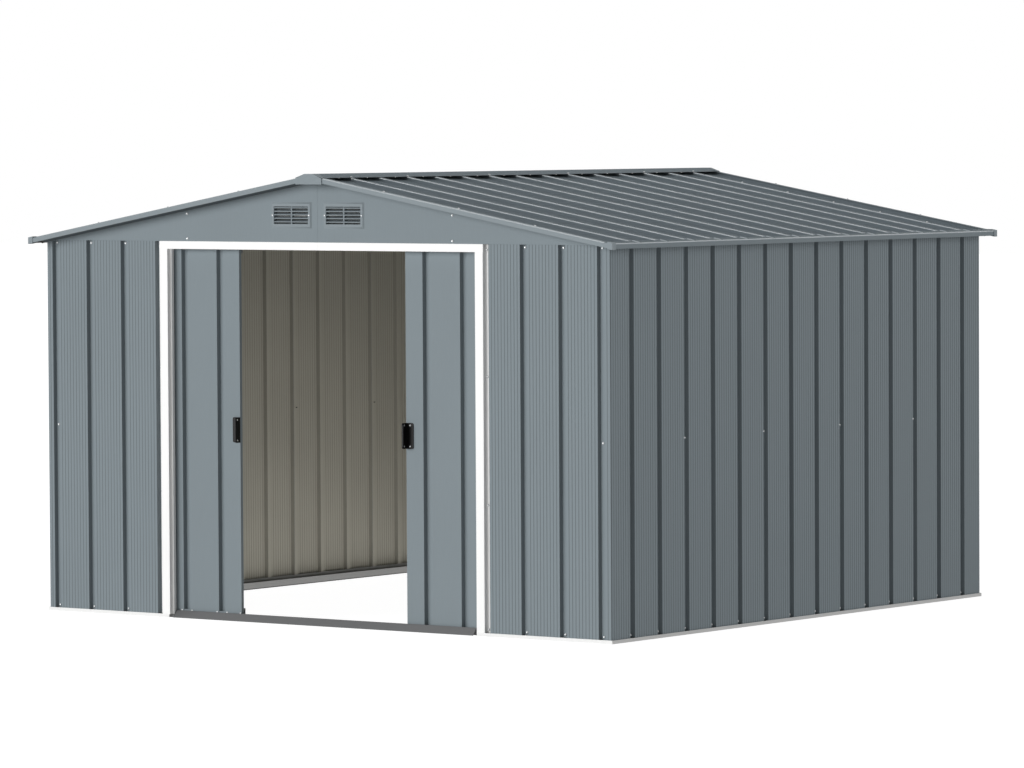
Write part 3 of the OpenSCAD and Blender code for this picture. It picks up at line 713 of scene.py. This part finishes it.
@dataclass
class Screws:
    """Self-drilling screws with hexagon heads on sealing washers, in one mesh for each place.

    A screw is a profile of radius and height, from its point up the shank, the washer and the head, carried
    round its axis in twelve steps. On the head's two lower rings the radius is divided by the cosine of 30
    degrees at every other step, which makes the circle a hexagon.
    """

    materials: list
    size: ScrewSize
    steps: int = 12

    def template(self) -> tuple[Array, Array, Array]:
        """Work out one screw along +Z, its seat at the origin.

        Returns:
            The vertices, the four-cornered faces and each face's material number.
        """
        size = self.size
        shank = np.array([(0.05, -1), (1, -0.6), (1, 0)]) * (size.shank_radius, size.shank)
        washer = np.array([(1, 0), (1, 0.45), (0.86, 0.85), (0.66, 1)])
        washer *= (size.washer_radius, size.washer_height)
        sunk = 0.8 * size.washer_height / size.head_height
        head = np.array([(1, sunk), (1, 0.84), (0.8, 1), (0.02, 1)]) * (size.head_radius, size.head_height)
        profile = np.concatenate([shank, washer, head])
        rings = len(profile)
        angle = np.arange(self.steps) * 2 * np.pi / self.steps
        shape = np.ones((rings, self.steps))
        shape[-4:-2, ::2] /= math.cos(math.pi / 6)
        radius = profile[:, 0, None] * shape
        height = np.broadcast_to(profile[:, 1, None], radius.shape)
        points = np.stack([radius * np.cos(angle), radius * np.sin(angle), height], -1).reshape(-1, 3)
        ring, step = np.meshgrid(np.arange(rings - 1), np.arange(self.steps), indexing="ij")
        here = ring * self.steps + step
        after = ring * self.steps + (step + 1) % self.steps
        faces = np.stack([here, after, after + self.steps, here + self.steps], -1).reshape(-1, 4)
        band = np.arange(rings - 1)
        slots = np.select([band < len(shank) - 1, band < len(shank) + len(washer) - 1], [2, 0], 1)
        return points, faces, np.repeat(slots, self.steps).astype(np.int32)

    def build(self, name: str, body: Body, seats: Array, normal: tuple[float, float, float]) -> None:
        """Set a screw at each seat, square to the face that they are all in.

        Args:
            name: the name of the row of screws.
            body: the body that they ride on.
            seats: the points where the screws sit, one row each.
            normal: the direction that their heads look in.
        """
        points, faces, slots = self.template()
        axis = np.array(normal, float)
        axis /= np.linalg.norm(axis)
        first = np.cross((1, 0, 0) if abs(axis[2]) > 0.9 else (0, 0, 1), axis)
        first /= np.linalg.norm(first)
        basis = np.stack([first, np.cross(axis, first), axis])
        placed = (points @ basis + seats[:, None, :]).reshape(-1, 3)
        offsets = np.arange(len(seats))[:, None, None] * len(points)
        every_face = (faces + offsets).reshape(-1, 4)
        Piece(placed, every_face, self.materials, np.tile(slots, len(seats))).build(name, body)


@dataclass
class Palette:
    """Every finish of the shed, as made materials."""

    shed: Shed
    grey: str = "#848E93"
    taupe: str = "#A29F94"
    white_paint: str = "#F6F6F5"
    # Painted shade: the roof sheets' backing is a dark grey that stands in for the shade under the roof and
    # its overhang.
    shaded_roof_back: str = "#4C5052"
    lip_grey: str = "#9C9C9B"

    def __post_init__(self) -> None:
        """Make the materials."""
        half = (self.shed.half_width, self.shed.half_depth)
        wall = (self.grey, self.taupe, Side.WALL, *half)
        under_roof = (self.shaded_roof_back, Side.ROOF, *half)
        lip = (self.lip_grey, Side.WALL, *half)
        self.wall = CoilCoat("coil_coated_wall_steel", *wall, grooved=True).material()
        self.plain = CoilCoat("coil_coated_plain_steel", *wall).material()
        # Painted shade: the gable's backing is a darker copy of the walls' taupe, standing in for shade
        # inside the gables.
        self.gable = CoilCoat("coil_coated_gable_steel", self.grey, "#5E5C57", Side.WALL, *half).material()
        # Painted shade: the roof sheets' grey is a darker copy of the walls' grey, for how dim the slopes
        # look in grazing light.
        self.roof = CoilCoat("coil_coated_roof_steel", "#6D777D", *under_roof).material()
        self.ridge = CoilCoat("coil_coated_ridge_steel", "#848E94", *under_roof).material()
        self.rail = RailCoat("white_coated_rail_steel", self.white_paint, *lip).material()
        # Painted shade: the side rails' white is a darker copy of the front and rear rails' white, for the
        # shade on the sides.
        self.side_rail = RailCoat("shaded_white_coated_rail_steel", "#D2D2D1", *lip).material()
        # Painted shade under the verge trims and caps: undersides keep 0.4 of their colour.
        self.trim = StovedPaint("stoved_grey_paint_on_folded_steel", "#808A8F", 0.72, 0.36, 0.4).material()
        # Painted shade on the eave trims: their tops take a darker grey and their undersides keep 0.4 of
        # their colour.
        self.eave = StovedPaint(
            "stoved_grey_paint_on_eave_steel", "#7D878C", 0.72, 0.42, under=0.4, top="#6A7479", shine=0.12
        ).material()
        # Painted shade on the vents: faces that look up take a darker grey and undersides keep half their
        # colour.
        self.vent = StovedPaint(
            "stoved_grey_paint_on_pressed_vents", "#808A8F", 0.72, 0.42, under=0.5, top="#60696E"
        ).material()
        # Painted shade: the rims' grey is darker than the vent plates', and their undersides keep 0.9 of it.
        self.rim = StovedPaint("stoved_grey_paint_on_pressed_rims", "#7A8489", 0.72, 0.6, 0.9).material()
        # Painted highlight: the bends' grey is lighter than the roof's and the trims', for the light that
        # their rolled radius catches.
        self.bend = StovedPaint("highlighted_grey_paint_on_rolled_bends", "#98A2A7", 0.3, 0.3).material()
        # Painted shade: faces of the jambs and header that look along X keep 0.8 of their white.
        self.white = StovedPaint(
            "stoved_white_paint_on_folded_steel", self.white_paint, 0.5, 0.4, side=0.8
        ).material()
        self.sill = StovedPaint("stoved_dark_grey_paint_on_sill", "#5C5D5E", 0.55, 0.5).material()
        self.galvanised = Galvanised("galvanised_channel_steel", "#B9BBBC").material()
        self.black = Moulding("moulded_black_nylon", "#0A0B0C", 0.36, 0.14).material()
        washer = Moulding("moulded_white_washer", "#C2C4C5", 0.5).material()
        zinc = Zinc("bright_zinc_screw", "#C8CACB").material()
        point = Zinc("blued_steel_screw_point", "#3A3B3C").material()
        self.screw = [washer, zinc, point]

    def dress(self, nodes: dict) -> None:
        """Give every solid of the part its finish.

        Args:
            nodes: the part's objects by name.
        """
        slots = {
            self.roof: ("roof_left", "roof_right"),
            self.ridge: ("ridge_cap",),
            self.eave: ("eave_trims",),
            self.vent: ("vents",),
            self.trim: ("verge_trims", "corner_caps", "ridge_end_caps"),
            self.side_rail: ("base_rail_left", "base_rail_right"),
            self.rail: ("base_rail",),
            self.white: ("door_jamb", "door_header"),
            self.sill: ("door_sill",),
            self.galvanised: ("track", "channel", "top_rail", "ridge_beam", "purlins", "door_rails"),
            self.black: ("gliders", "handle"),
            self.wall: ("_wall", "wall_", "corner_sheet"),
            self.gable: ("gable",),
            self.plain: ("left_door", "right_door"),
        }
        for name, node in nodes.items():
            finish = next(made for made, parts in slots.items() if any(part in name for part in parts))
            node.data.materials.clear()
            node.data.materials.append(finish)
            LOG.info("%s: %s", name, finish.name)


@dataclass
class Fixings:
    """Where the shed's screws are: in the ribs, the laps, the jambs, the gables, the roof and the doors.

    Places along X count from the middle, and heights from the ground.
    """

    shed: Shed
    palette: Palette
    foot_above: float = 12 * MM
    top_below: float = 13 * MM
    lap_height: float = 0.837
    off_middle: float = 4 * MM
    side_laps: Numbers = (-0.9, -0.3, 0.3, 0.9)
    front_ribs: Numbers = (-1.5, -1.3, -1.1, 1.1, 1.3, 1.5)
    front_laps: Numbers = (-1.5, 1.5)
    rear_laps: Numbers = (-1.5, -0.9, -0.3, 0.3, 0.9, 1.5)
    jamb_places: Numbers = (-0.899, 0.899)
    jamb_heights: Numbers = (0.030, 0.557, 1.102, 1.640)
    gable_places: Numbers = (-0.730, 0.730)
    gable_heights: Numbers = (1.675, 1.784)
    gable_plate: float = 2 * MM
    vent_places: Numbers = (-0.245, -0.043, 0.043, 0.245)
    vent_height: float = 1.780
    verge_places: Numbers = (0.4, 0.8, 1.2)
    verge_rib: float = 50 * MM
    ridge_edge: float = 67 * MM
    ridge_places: Numbers = (-1.3, -0.9, -0.3, 0.3, 0.9, 1.3)
    inner_first: float = 0.345
    inner_step: float = 0.2545
    inner_count: int = 5
    beside_rib: float = 28 * MM
    edge_inset: float = 6 * MM
    handle_inset: float = 23 * MM
    handle_plate: float = 3 * MM
    handle_half: float = 45 * MM
    grip_depth: float = 14 * MM
    grip_sheet: float = 4 * MM

    def rows(self, *places: object) -> Array:
        """Every mix of the given X, Y and Z values, one point a row."""
        return np.stack(np.meshgrid(*[np.atleast_1d(p) for p in places], indexing="ij"), -1).reshape(-1, 3)

    def walls(self) -> None:
        """Screws at the foot and the top of every rib and at half height in the laps."""
        shed = self.shed
        ends = (shed.wall_foot + self.foot_above, shed.wall_top - self.top_below)
        floor_x = shed.half_width - shed.rib_depth
        floor_y = shed.half_depth - shed.rib_depth
        for side, sign in SIDES:
            ribs = self.rows(sign * floor_x, shed.side_ribs + self.off_middle, ends)
            places = np.array(self.side_laps) + self.off_middle
            laps = self.rows(sign * (floor_x + shed.sheet), places, self.lap_height)
            self.fix(f"{side}_wall_screws", np.concatenate([ribs, laps]), (sign, 0, 0))
        rear_ribs = np.arange(-7.5, 8) * shed.pitch
        front = ("front", -1, self.front_ribs, self.front_laps)
        rear = ("rear", 1, rear_ribs, self.rear_laps)
        for end, sign, rib_places, lap_places in (front, rear):
            ribs = self.rows(rib_places, sign * floor_y, ends)
            laps = self.rows(lap_places, sign * (floor_y + shed.sheet), self.lap_height)
            self.fix(f"{end}_wall_screws", np.concatenate([ribs, laps]), (0, sign, 0))

    def frame(self) -> None:
        """Screws down the jambs' flanges, in the gables and in the vents."""
        shed = self.shed
        flange = shed.half_depth - shed.rib_depth + shed.trim
        self.fix("jamb_screws", self.rows(self.jamb_places, -flange, self.jamb_heights), (0, -1, 0))
        for end, sign in (("front", -1), ("rear", 1)):
            low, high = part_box(f"{end}_vents")
            plate = sign * (shed.half_depth + self.gable_plate)
            seats = self.rows(self.gable_places, plate, self.gable_heights)
            self.fix(f"{end}_gable_screws", seats, (0, sign, 0))
            seats = self.rows(self.vent_places, low.y if sign < 0 else high.y, self.vent_height)
            self.fix(f"{end}_vent_screws", seats, (0, sign, 0), SMALL_SCREW)

    def roof(self) -> None:
        """Screws along the verges, one rib in from the rear verge, and along the ridge cap's edges."""
        shed = self.shed
        rib = shed.half_depth + self.verge_rib
        inner_places = self.inner_first + self.inner_step * np.arange(self.inner_count)
        verges = shed.on_roof(self.rows(self.verge_places, (-rib, rib), 0), shed.trim - shed.lap_lift)
        ridge = shed.on_roof(self.rows(self.ridge_edge, self.ridge_places, 0), shed.trim)
        inner = shed.on_roof(self.rows(inner_places, shed.side_ribs[-1], 0), -shed.lap_lift)
        seats = np.concatenate([verges, ridge, inner])
        for side, sign in SIDES:
            normal = (sign * math.sin(shed.slope), 0, math.cos(shed.slope))
            self.fix(f"{side}_roof_screws", seats * (sign, 1, 1), normal)

    def doors(self) -> None:
        """Small screws in the foot of each door, beside its ribs, and in its handle's plate and grip."""
        for door in DOORS:
            sign, lead = door.sign, door.lead()
            ribs = door.ribs(self.shed.pitch)
            face = door.corners()[0].y
            edge = [lead - sign * self.edge_inset]
            places = np.concatenate([ribs - self.beside_rib, ribs + self.beside_rib, edge])
            seats = self.rows(places, face, door.screw_height)
            self.fix(f"{door.side}_door_screws", seats, (0, -1, 0), SMALL_SCREW, door.body)
            near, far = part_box(f"{door.side}_handle")
            heights = (near.z + far.z) / 2 + np.array([-self.handle_half, self.handle_half])
            plate = self.rows(lead - sign * self.handle_inset, face - self.handle_plate, heights)
            self.fix(f"{door.side}_handle_screws", plate, (0, -1, 0), SMALL_SCREW, door.body)
            grip = self.rows(far.x if sign > 0 else near.x, near.y + self.grip_depth, heights)
            self.fix(f"{door.side}_grip_screws", grip, (sign, 0, 0), FLUSH_SCREW, door.body)
            nuts = grip - (sign * self.grip_sheet, 0, 0)
            self.fix(f"{door.side}_grip_nuts", nuts, (-sign, 0, 0), FLUSH_SCREW, door.body)

    def fix(
        self, name: str, seats: Array, normal: tuple, size: ScrewSize = WALL_SCREW, body: Body = Body.SHED
    ) -> None:
        """Set a row of screws."""
        Screws(self.palette.screw, size).build(name, body, seats, normal)

    def build(self) -> None:
        """Set all the screws."""
        self.walls()
        self.frame()
        self.roof()
        self.doors()


@dataclass
class RoofBends:
    """The rolled bends along the top edges of the roof's ribs, which turn smoothly from the flank to the top.

    Each bend is a strip of two faces just off the sheet, one down the flank and one across the top. Smooth
    shading turns its normal from the flank's to the top's, as the roller's radius does.
    """

    shed: Shed
    palette: Palette
    reach: float = 3.5 * MM
    off: float = 0.12 * MM
    lap_pitch: float = 0.6
    foot_inset: float = 1 * MM

    def section(self) -> Array:
        """The strip across the edge on the side of +Y, as steps in Y and in height from the edge.

        Returns:
            Three points: down the flank, at the edge and across the top.
        """
        lean = self.shed.roof_flank
        down = np.array([math.cos(lean), -math.sin(lean)]) * self.reach
        out = np.array([math.sin(lean), math.cos(lean)]) * self.off
        corner = np.array([math.tan(lean / 2), 1]) * self.off
        return np.array([down + out, corner, (-self.reach, self.off)])

    def build(self) -> None:
        """Lay the strips on both slopes."""
        shed = self.shed
        ribs = shed.side_ribs
        lapped = np.isclose(np.abs(ribs) % self.lap_pitch, self.lap_pitch / 2)
        rib, edge, step, end = np.meshgrid(np.arange(len(ribs)), (-1, 1), np.arange(3), (0, 1), indexing="ij")
        section = self.section()[step]
        along = ribs[rib] + edge * (shed.roof_flat / 2 + section[..., 0])
        height = np.where(lapped[rib], 0, -shed.lap_lift) + section[..., 1]
        low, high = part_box("roof_right")
        start = low.x + 2 * shed.roof_rib * math.sin(shed.slope)
        across = np.where(end == 0, start, high.x - self.foot_inset)
        z = shed.lap_ridge - across * math.tan(shed.slope) + height / math.cos(shed.slope)
        points = np.stack([across, along, z], -1).reshape(-1, 3)
        base = (np.arange(len(ribs) * 2) * 6)[:, None, None]
        faces = base + np.array([[0, 1, 3, 2], [2, 3, 5, 4]])
        faces[0::2] = faces[0::2, :, ::-1]
        build_pairs(roof_bends=Piece(points, faces.reshape(-1, 4), [self.palette.bend], smooth=True))


@dataclass
class Eaves:
    """The eave trims' rolled noses and drip lips, and the swages that carry the roof's ribs over them.

    A nose is a line of points round the trim's upper edge, drawn out along the eave, and a drip lip is an L
    of sheet under the trim's foot, drawn out in the same way. A swage is a flat-topped bump across the
    flange, at a rib: its section along Y is scaled up from nothing at its upper end, kept, and scaled down
    to a third where it runs out in the nose. The sections are in millimetres: outwards and up for the nose
    and the lip, and along the eave and up for the swage.
    """

    shed: Shed
    palette: Palette
    cap: float = 25 * MM
    off: float = 0.3 * MM
    nose: Points = ((0.15, -4.2), (0.9, -2.8), (1.1, -0.8), (0.4, 0.5), (-1.6, 0.9), (-4.0, 0.85))
    drip: Points = ((0, 0), (0, -3.0), (-11, -3.0), (-11, -2.2), (-0.9, -2.2), (-0.9, 0))
    drip_inset: float = 0.1 * MM
    drip_gap: float = 0.05 * MM
    swage: Points = ((-12.5, 0.05), (-10.6, 1.8), (-8.45, 3.2), (8.45, 3.2), (10.6, 1.8), (12.5, 0.05))
    swage_shares: Numbers = (0.03, 1.0, 1.0, 0.33)
    rise: float = 1.5 * MM
    fall_start: float = 8 * MM
    fall_end: float = 1.5 * MM

    def drawn_out(self, section: Points, x: float, z: float) -> Array:
        """Draw a section out along the right eave, between its corner caps.

        Args:
            section: its points, outwards and up, in millimetres.
            x: where the section is set across the eave.
            z: where the section is set in height.

        Returns:
            Each point at both ends, one row each.
        """
        steps = np.array(section) * MM
        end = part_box("eave_trims")[1].y - self.cap
        place, y = np.meshgrid(np.arange(len(steps)), (-end, end), indexing="ij")
        return np.stack([x + steps[place, 0], y, z + steps[place, 1]], -1).reshape(-1, 3)

    def right_nose(self) -> Piece:
        """Lay the nose along the right eave.

        Returns:
            The piece.
        """
        edge = self.shed.on_roof(np.array([[self.shed.roof_half, 0, 0]]), self.shed.trim + self.off)[0]
        points = self.drawn_out(self.nose, edge[0], edge[2])
        first = 2 * np.arange(len(self.nose) - 1)
        faces = np.stack([first, first + 1, first + 3, first + 2], -1)
        return Piece(points, faces, [self.palette.bend], smooth=True)

    def right_drip(self) -> Piece:
        """Hang the drip lip under the right eave trim.

        Returns:
            The piece.
        """
        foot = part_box("eave_trims")[0].z - self.drip_gap
        points = self.drawn_out(self.drip, self.shed.roof_half - self.drip_inset, foot)
        return Piece(points, fold_faces(), [self.palette.eave])

    def right_swages(self) -> Piece:
        """Set a swage at each rib on the right eave.

        Returns:
            The piece.
        """
        shed = self.shed
        section = np.array(self.swage) * MM
        start, edge = shed.roof_half - shed.trim - shed.eave_flange, shed.roof_half
        stations = np.array([start, start + self.rise, edge - self.fall_start, edge - self.fall_end])
        ribs = shed.side_ribs
        across, along = len(stations), len(section)
        rib, station, place = np.meshgrid(*map(np.arange, (len(ribs), across, along)), indexing="ij")
        flat = np.stack([stations[station], ribs[rib] + section[place, 0], 0 * rib], -1).reshape(-1, 3)
        points = shed.on_roof(flat, shed.trim + self.off)
        points[:, 2] += (section[place, 1] * np.array(self.swage_shares)[station]).reshape(-1)
        station, place = np.meshgrid(np.arange(across - 1), np.arange(along - 1), indexing="ij")
        corner = station * along + place
        quads = np.stack([corner, corner + along, corner + along + 1, corner + 1], -1).reshape(-1, 4)
        faces = (quads + across * along * np.arange(len(ribs))[:, None, None]).reshape(-1, 4)
        top = place.reshape(-1) == along // 2 - 1
        slots = np.tile(top, len(ribs)).astype(np.int32)
        return Piece(points, faces, [self.palette.bend, self.palette.roof], slots, smooth=True)

    def build(self) -> None:
        """Make the noses, the drip lips and the swages of both eaves."""
        build_pairs(eave_nose=self.right_nose(), eave_drip=self.right_drip(), eave_swages=self.right_swages())


@dataclass
class VentRims:
    """The pressed rims round the gable vents, which fall from a plate's edge to the gable's face.

    A rim is four rectangles, each wider and deeper than the one before, joined by smooth faces. The rings say
    how far each is out from the plate's edge in X and in Z and back from its face, in millimetres.
    """

    palette: Palette
    width: float = 0.213
    rings: Points = ((-0.8, -0.8, -0.05), (0.5, 0.8, 0.8), (3.6, 5.0, 4.1), (5.0, 7.0, 4.9))

    def build(self) -> None:
        """Make the rims of the front and rear vents."""
        rings = np.array(self.rings) * MM
        corners = np.array([(-1, -1), (1, -1), (1, 1), (-1, 1)])
        low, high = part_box("front_vents")
        half = np.array([self.width, high.z - low.z]) / 2
        middle = high.x - half[0]
        vent, ring, corner = np.meshgrid((-1, 1), np.arange(4), np.arange(4), indexing="ij")
        x = vent * middle + corners[corner, 0] * (half[0] + rings[ring, 0])
        z = (low.z + high.z) / 2 + corners[corner, 1] * (half[1] + rings[ring, 1])
        points = np.stack([x, low.y + rings[ring, 2], z], -1).reshape(-1, 3)
        ring, corner = np.meshgrid(np.arange(3), np.arange(4), indexing="ij")
        here, after = ring * 4 + corner, ring * 4 + (corner + 1) % 4
        quads = np.stack([here, here + 4, after + 4, after], -1).reshape(-1, 4)
        rims = Piece(points, np.concatenate([quads, quads + 16]), [self.palette.rim], smooth=True)
        rims.build("front_vent_rims")
        rims.build("rear_vent_rims", mirror=(1, -1, 1))


@dataclass
class FootPlates:
    """The folded plates that close the mouths of the doors' ribs at the foot.

    A plate is an L of sheet: a face just behind the door's own face, and a top that is folded back into the
    rib. Its section is drawn across the rib, and its half width shrinks with depth as the rib's own does.
    """

    shed: Shed
    palette: Palette
    mouth: float = 17.7 * MM
    taper: float = 0.375
    front: float = 1.3 * MM
    back: float = 9.0 * MM
    sheet: float = 1.2 * MM
    foot_above: float = 1 * MM

    def build(self) -> None:
        """Make the plates of both doors."""
        inner = self.front + self.sheet
        depth = np.array([self.front, self.front, self.back, self.back, inner, inner])
        for door in DOORS:
            corner = door.corners()[0]
            ribs = door.ribs(self.shed.pitch)
            foot, top = corner.z + self.foot_above, door.plate_top
            height = np.array([foot, top, top, top - self.sheet, top - self.sheet, foot])
            rib, step, side = np.meshgrid(np.arange(len(ribs)), np.arange(6), (-1, 1), indexing="ij")
            x = ribs[rib] + side * (self.mouth - self.taper * depth[step])
            points = np.stack([x, corner.y + depth[step], height[step]], -1).reshape(-1, 3)
            plates = Piece(points, fold_faces(len(ribs)), [self.palette.trim])
            plates.build(f"{door.side}_door_foot_plates", door.body)


@dataclass
class HeaderEnds:
    """The folded ends of the doorway's header, which carry the jambs' sides and flanges on up to the gable.

    In plan each is an L of sheet: a side plate, and a flange that lies in the rib beside it. The plan is
    drawn down from the gable's foot to the jamb's top.
    """

    shed: Shed
    palette: Palette
    flange: float = 17 * MM
    gap: float = 0.2 * MM

    def plan(self) -> Array:
        """The right end's outline, anticlockwise from above.

        Returns:
            Six points in X and Y.
        """
        low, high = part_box("door_jamb_right")
        side = high.x - self.flange + self.gap
        face = low.y + self.gap
        back = self.shed.rib_depth - self.shed.half_depth - self.gap
        front = back - self.shed.trim
        across = side + self.shed.trim
        plate = [(side, back), (side, face), (across, face), (across, front)]
        return np.array([(high.x, back), *plate, (high.x, front)])

    def build(self) -> None:
        """Make both ends."""
        plan = self.plan()
        heights = (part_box("door_header")[1].z - self.gap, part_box("door_jamb_right")[1].z + self.gap)
        place, z = np.meshgrid(np.arange(len(plan)), heights, indexing="ij")
        points = np.stack([plan[place, 0], plan[place, 1], z], -1).reshape(-1, 3)
        build_pairs(header_end=Piece(points, fold_faces(), [self.palette.white]))


@dataclass
class Studio:
    """Camera at the photograph's place, a pale floor and soft light from three sides.

    Angles are in degrees. The sky's light falls from its horizon level to its overhead level at a height of
    sky_height on a sphere of one. The floor's light is its own level round the shed and more inside it.
    """

    azimuth: float = 36.523
    elevation: float = 2.584
    roll: float = 0.306
    place: tuple[float, float, float] = (15.348, -20.772, 2.160)
    lens: float = 200.76
    sensor: float = 36
    sight: float = 200
    horizon: float = 0.36
    overhead: float = 0.07
    sky_height: float = 0.7
    floor_reach: float = 60.0
    floor_drop: float = 0.5 * MM
    floor_grey: float = 0.22
    floor_light: float = 0.46
    inside_more: float = 0.72
    inside_half: tuple[float, float] = (1.5, 1.4)
    floor_seen: float = 0.97

    def camera(self) -> None:
        """Set the camera from its turn, its height above the horizon and its roll."""
        a, e, r = (math.radians(v) for v in (self.azimuth, self.elevation, self.roll))
        forward = Vector((-math.sin(a) * math.cos(e), math.cos(a) * math.cos(e), -math.sin(e)))
        right = Vector((math.cos(a), math.sin(a), 0))
        down = forward.cross(right)
        turned = right * math.cos(r) + down * math.sin(r)
        lowered = down * math.cos(r) - right * math.sin(r)
        data = bpy.data.cameras.new("camera")
        data.lens = self.lens
        data.sensor_width = self.sensor
        data.clip_end = self.sight
        made = bpy.data.objects.new("camera", data)
        columns = (turned, -lowered, -forward)
        made.matrix_world = Matrix.Translation(self.place) @ Matrix(columns).transposed().to_4x4()
        bpy.context.scene.collection.objects.link(made)
        bpy.context.scene.camera = made

    def lamp(self, name: str, towards: tuple[float, float, float], strength: float, spread: float) -> None:
        """Add a soft distant light.

        Args:
            name: the lamp's name.
            towards: the direction to the light.
            strength: its strength, where pi lights a facing surface at its own colour.
            spread: the light's width as an angle in degrees.
        """
        data = bpy.data.lights.new(name, "SUN")
        data.energy = strength
        data.angle = math.radians(spread)
        made = bpy.data.objects.new(name, data)
        made.rotation_mode = "QUATERNION"
        made.rotation_quaternion = Vector(towards).to_track_quat("Z", "Y")
        bpy.context.scene.collection.objects.link(made)

    def seen(self, tree: Tree) -> Node:
        """One for rays from the camera, from gloss and through glass, and zero for the light on the object.

        Args:
            tree: the tree of the sky or the floor.

        Returns:
            The mask.
        """
        path = add(tree, "LightPath").outputs
        direct = add(tree, "Math", (path["Is Camera Ray"], path["Is Glossy Ray"]), "MAXIMUM")
        return add(tree, "Math", (direct, path["Is Transmission Ray"]), "MAXIMUM")

    def world(self) -> None:
        """White to the camera. The light itself is brighter at the horizon than overhead."""
        world = bpy.data.worlds.new("studio")
        bpy.context.scene.world = world
        world.use_nodes = True
        tree = world.node_tree
        tree.nodes.clear()
        rise = {"From Min": 0.0, "From Max": self.sky_height, "To Min": self.horizon, "To Max": self.overhead}
        level = add(tree, "MapRange", {"Value": axes(tree, Reading.DIRECTION)["Z"], **rise})
        light = add(tree, "Background", {"Color": WHITE, "Strength": level})
        white = add(tree, "Background", {"Color": WHITE, "Strength": 1.0})
        add(tree, "OutputWorld", {"Surface": add(tree, "MixShader", (self.seen(tree), light, white))})

    def floor(self) -> None:
        """A pale floor that is bright enough to light the walls from below and keeps the shed's shadow."""
        signs = np.array([(-1, -1), (1, -1), (1, 1), (-1, 1)])
        corners = np.column_stack([signs * self.floor_reach, np.full(4, -self.floor_drop)])
        material = bpy.data.materials.new("pale_studio_floor")
        material.use_nodes = True
        tree = material.node_tree
        tree.nodes.clear()
        matt = add(tree, "BsdfDiffuse", {"Color": (*(self.floor_grey,) * 3, 1)})
        glow = add(tree, "Emission", {"Color": WHITE, "Strength": self.glow(tree)})
        add(tree, "OutputMaterial", {"Surface": add(tree, "AddShader", (matt, glow))})
        material.cycles.emission_sampling = "NONE"
        made = surface("studio_floor", corners, np.array([[0, 1, 2, 3]]), [material])

    def glow(self, tree: Tree) -> Node:
        """The floor's own light: nearly white to the camera, and as a lamp brighter inside the shed.

        Args:
            tree: the floor's tree.

        Returns:
            The strength.
        """
        place = axes(tree, Reading.PLACE)
        across, along = (add(tree, "Math", (place[axis],), "ABSOLUTE") for axis in "XY")
        within_x = add(tree, "Math", (across, self.inside_half[0]), "LESS_THAN")
        within_y = add(tree, "Math", (along, self.inside_half[1]), "LESS_THAN")
        inside = add(tree, "Math", (within_x, within_y), "MULTIPLY")
        lit = add(tree, "Math", (inside, self.inside_more, self.floor_light), "MULTIPLY_ADD")
        return add(tree, "Mix", {"Factor": self.seen(tree), "A": lit, "B": self.floor_seen})

    def build(self) -> None:
        """Set up the camera, the lights and the floor."""
        self.camera()
        self.world()
        self.floor()
        self.lamp("front_left_softbox", (-0.58, -0.80, 0.12), 3.2, 40)
        self.lamp("rear_right_softbox", (0.58, 0.80, 0.05), 1.95, 40)
        self.lamp("overhead_softbox", (-0.43, -0.03, 0.90), 0.85, 10)
        bpy.context.scene.view_settings.view_transform = "Standard"


def main() -> None:
    """Load the part, dress it, add its screws and thin trims, and light it."""
    logging.basicConfig(level=logging.INFO, format="%(name)s %(message)s")
    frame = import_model()
    shed = Shed()
    palette = Palette(shed)
    palette.dress(frame["nodes"])
    Fixings(shed, palette).build()
    RoofBends(shed, palette).build()
    Eaves(shed, palette).build()
    VentRims(palette).build()
    FootPlates(shed, palette).build()
    HeaderEnds(shed, palette).build()
    Studio().build()


if __name__ == "__main__":
    main()
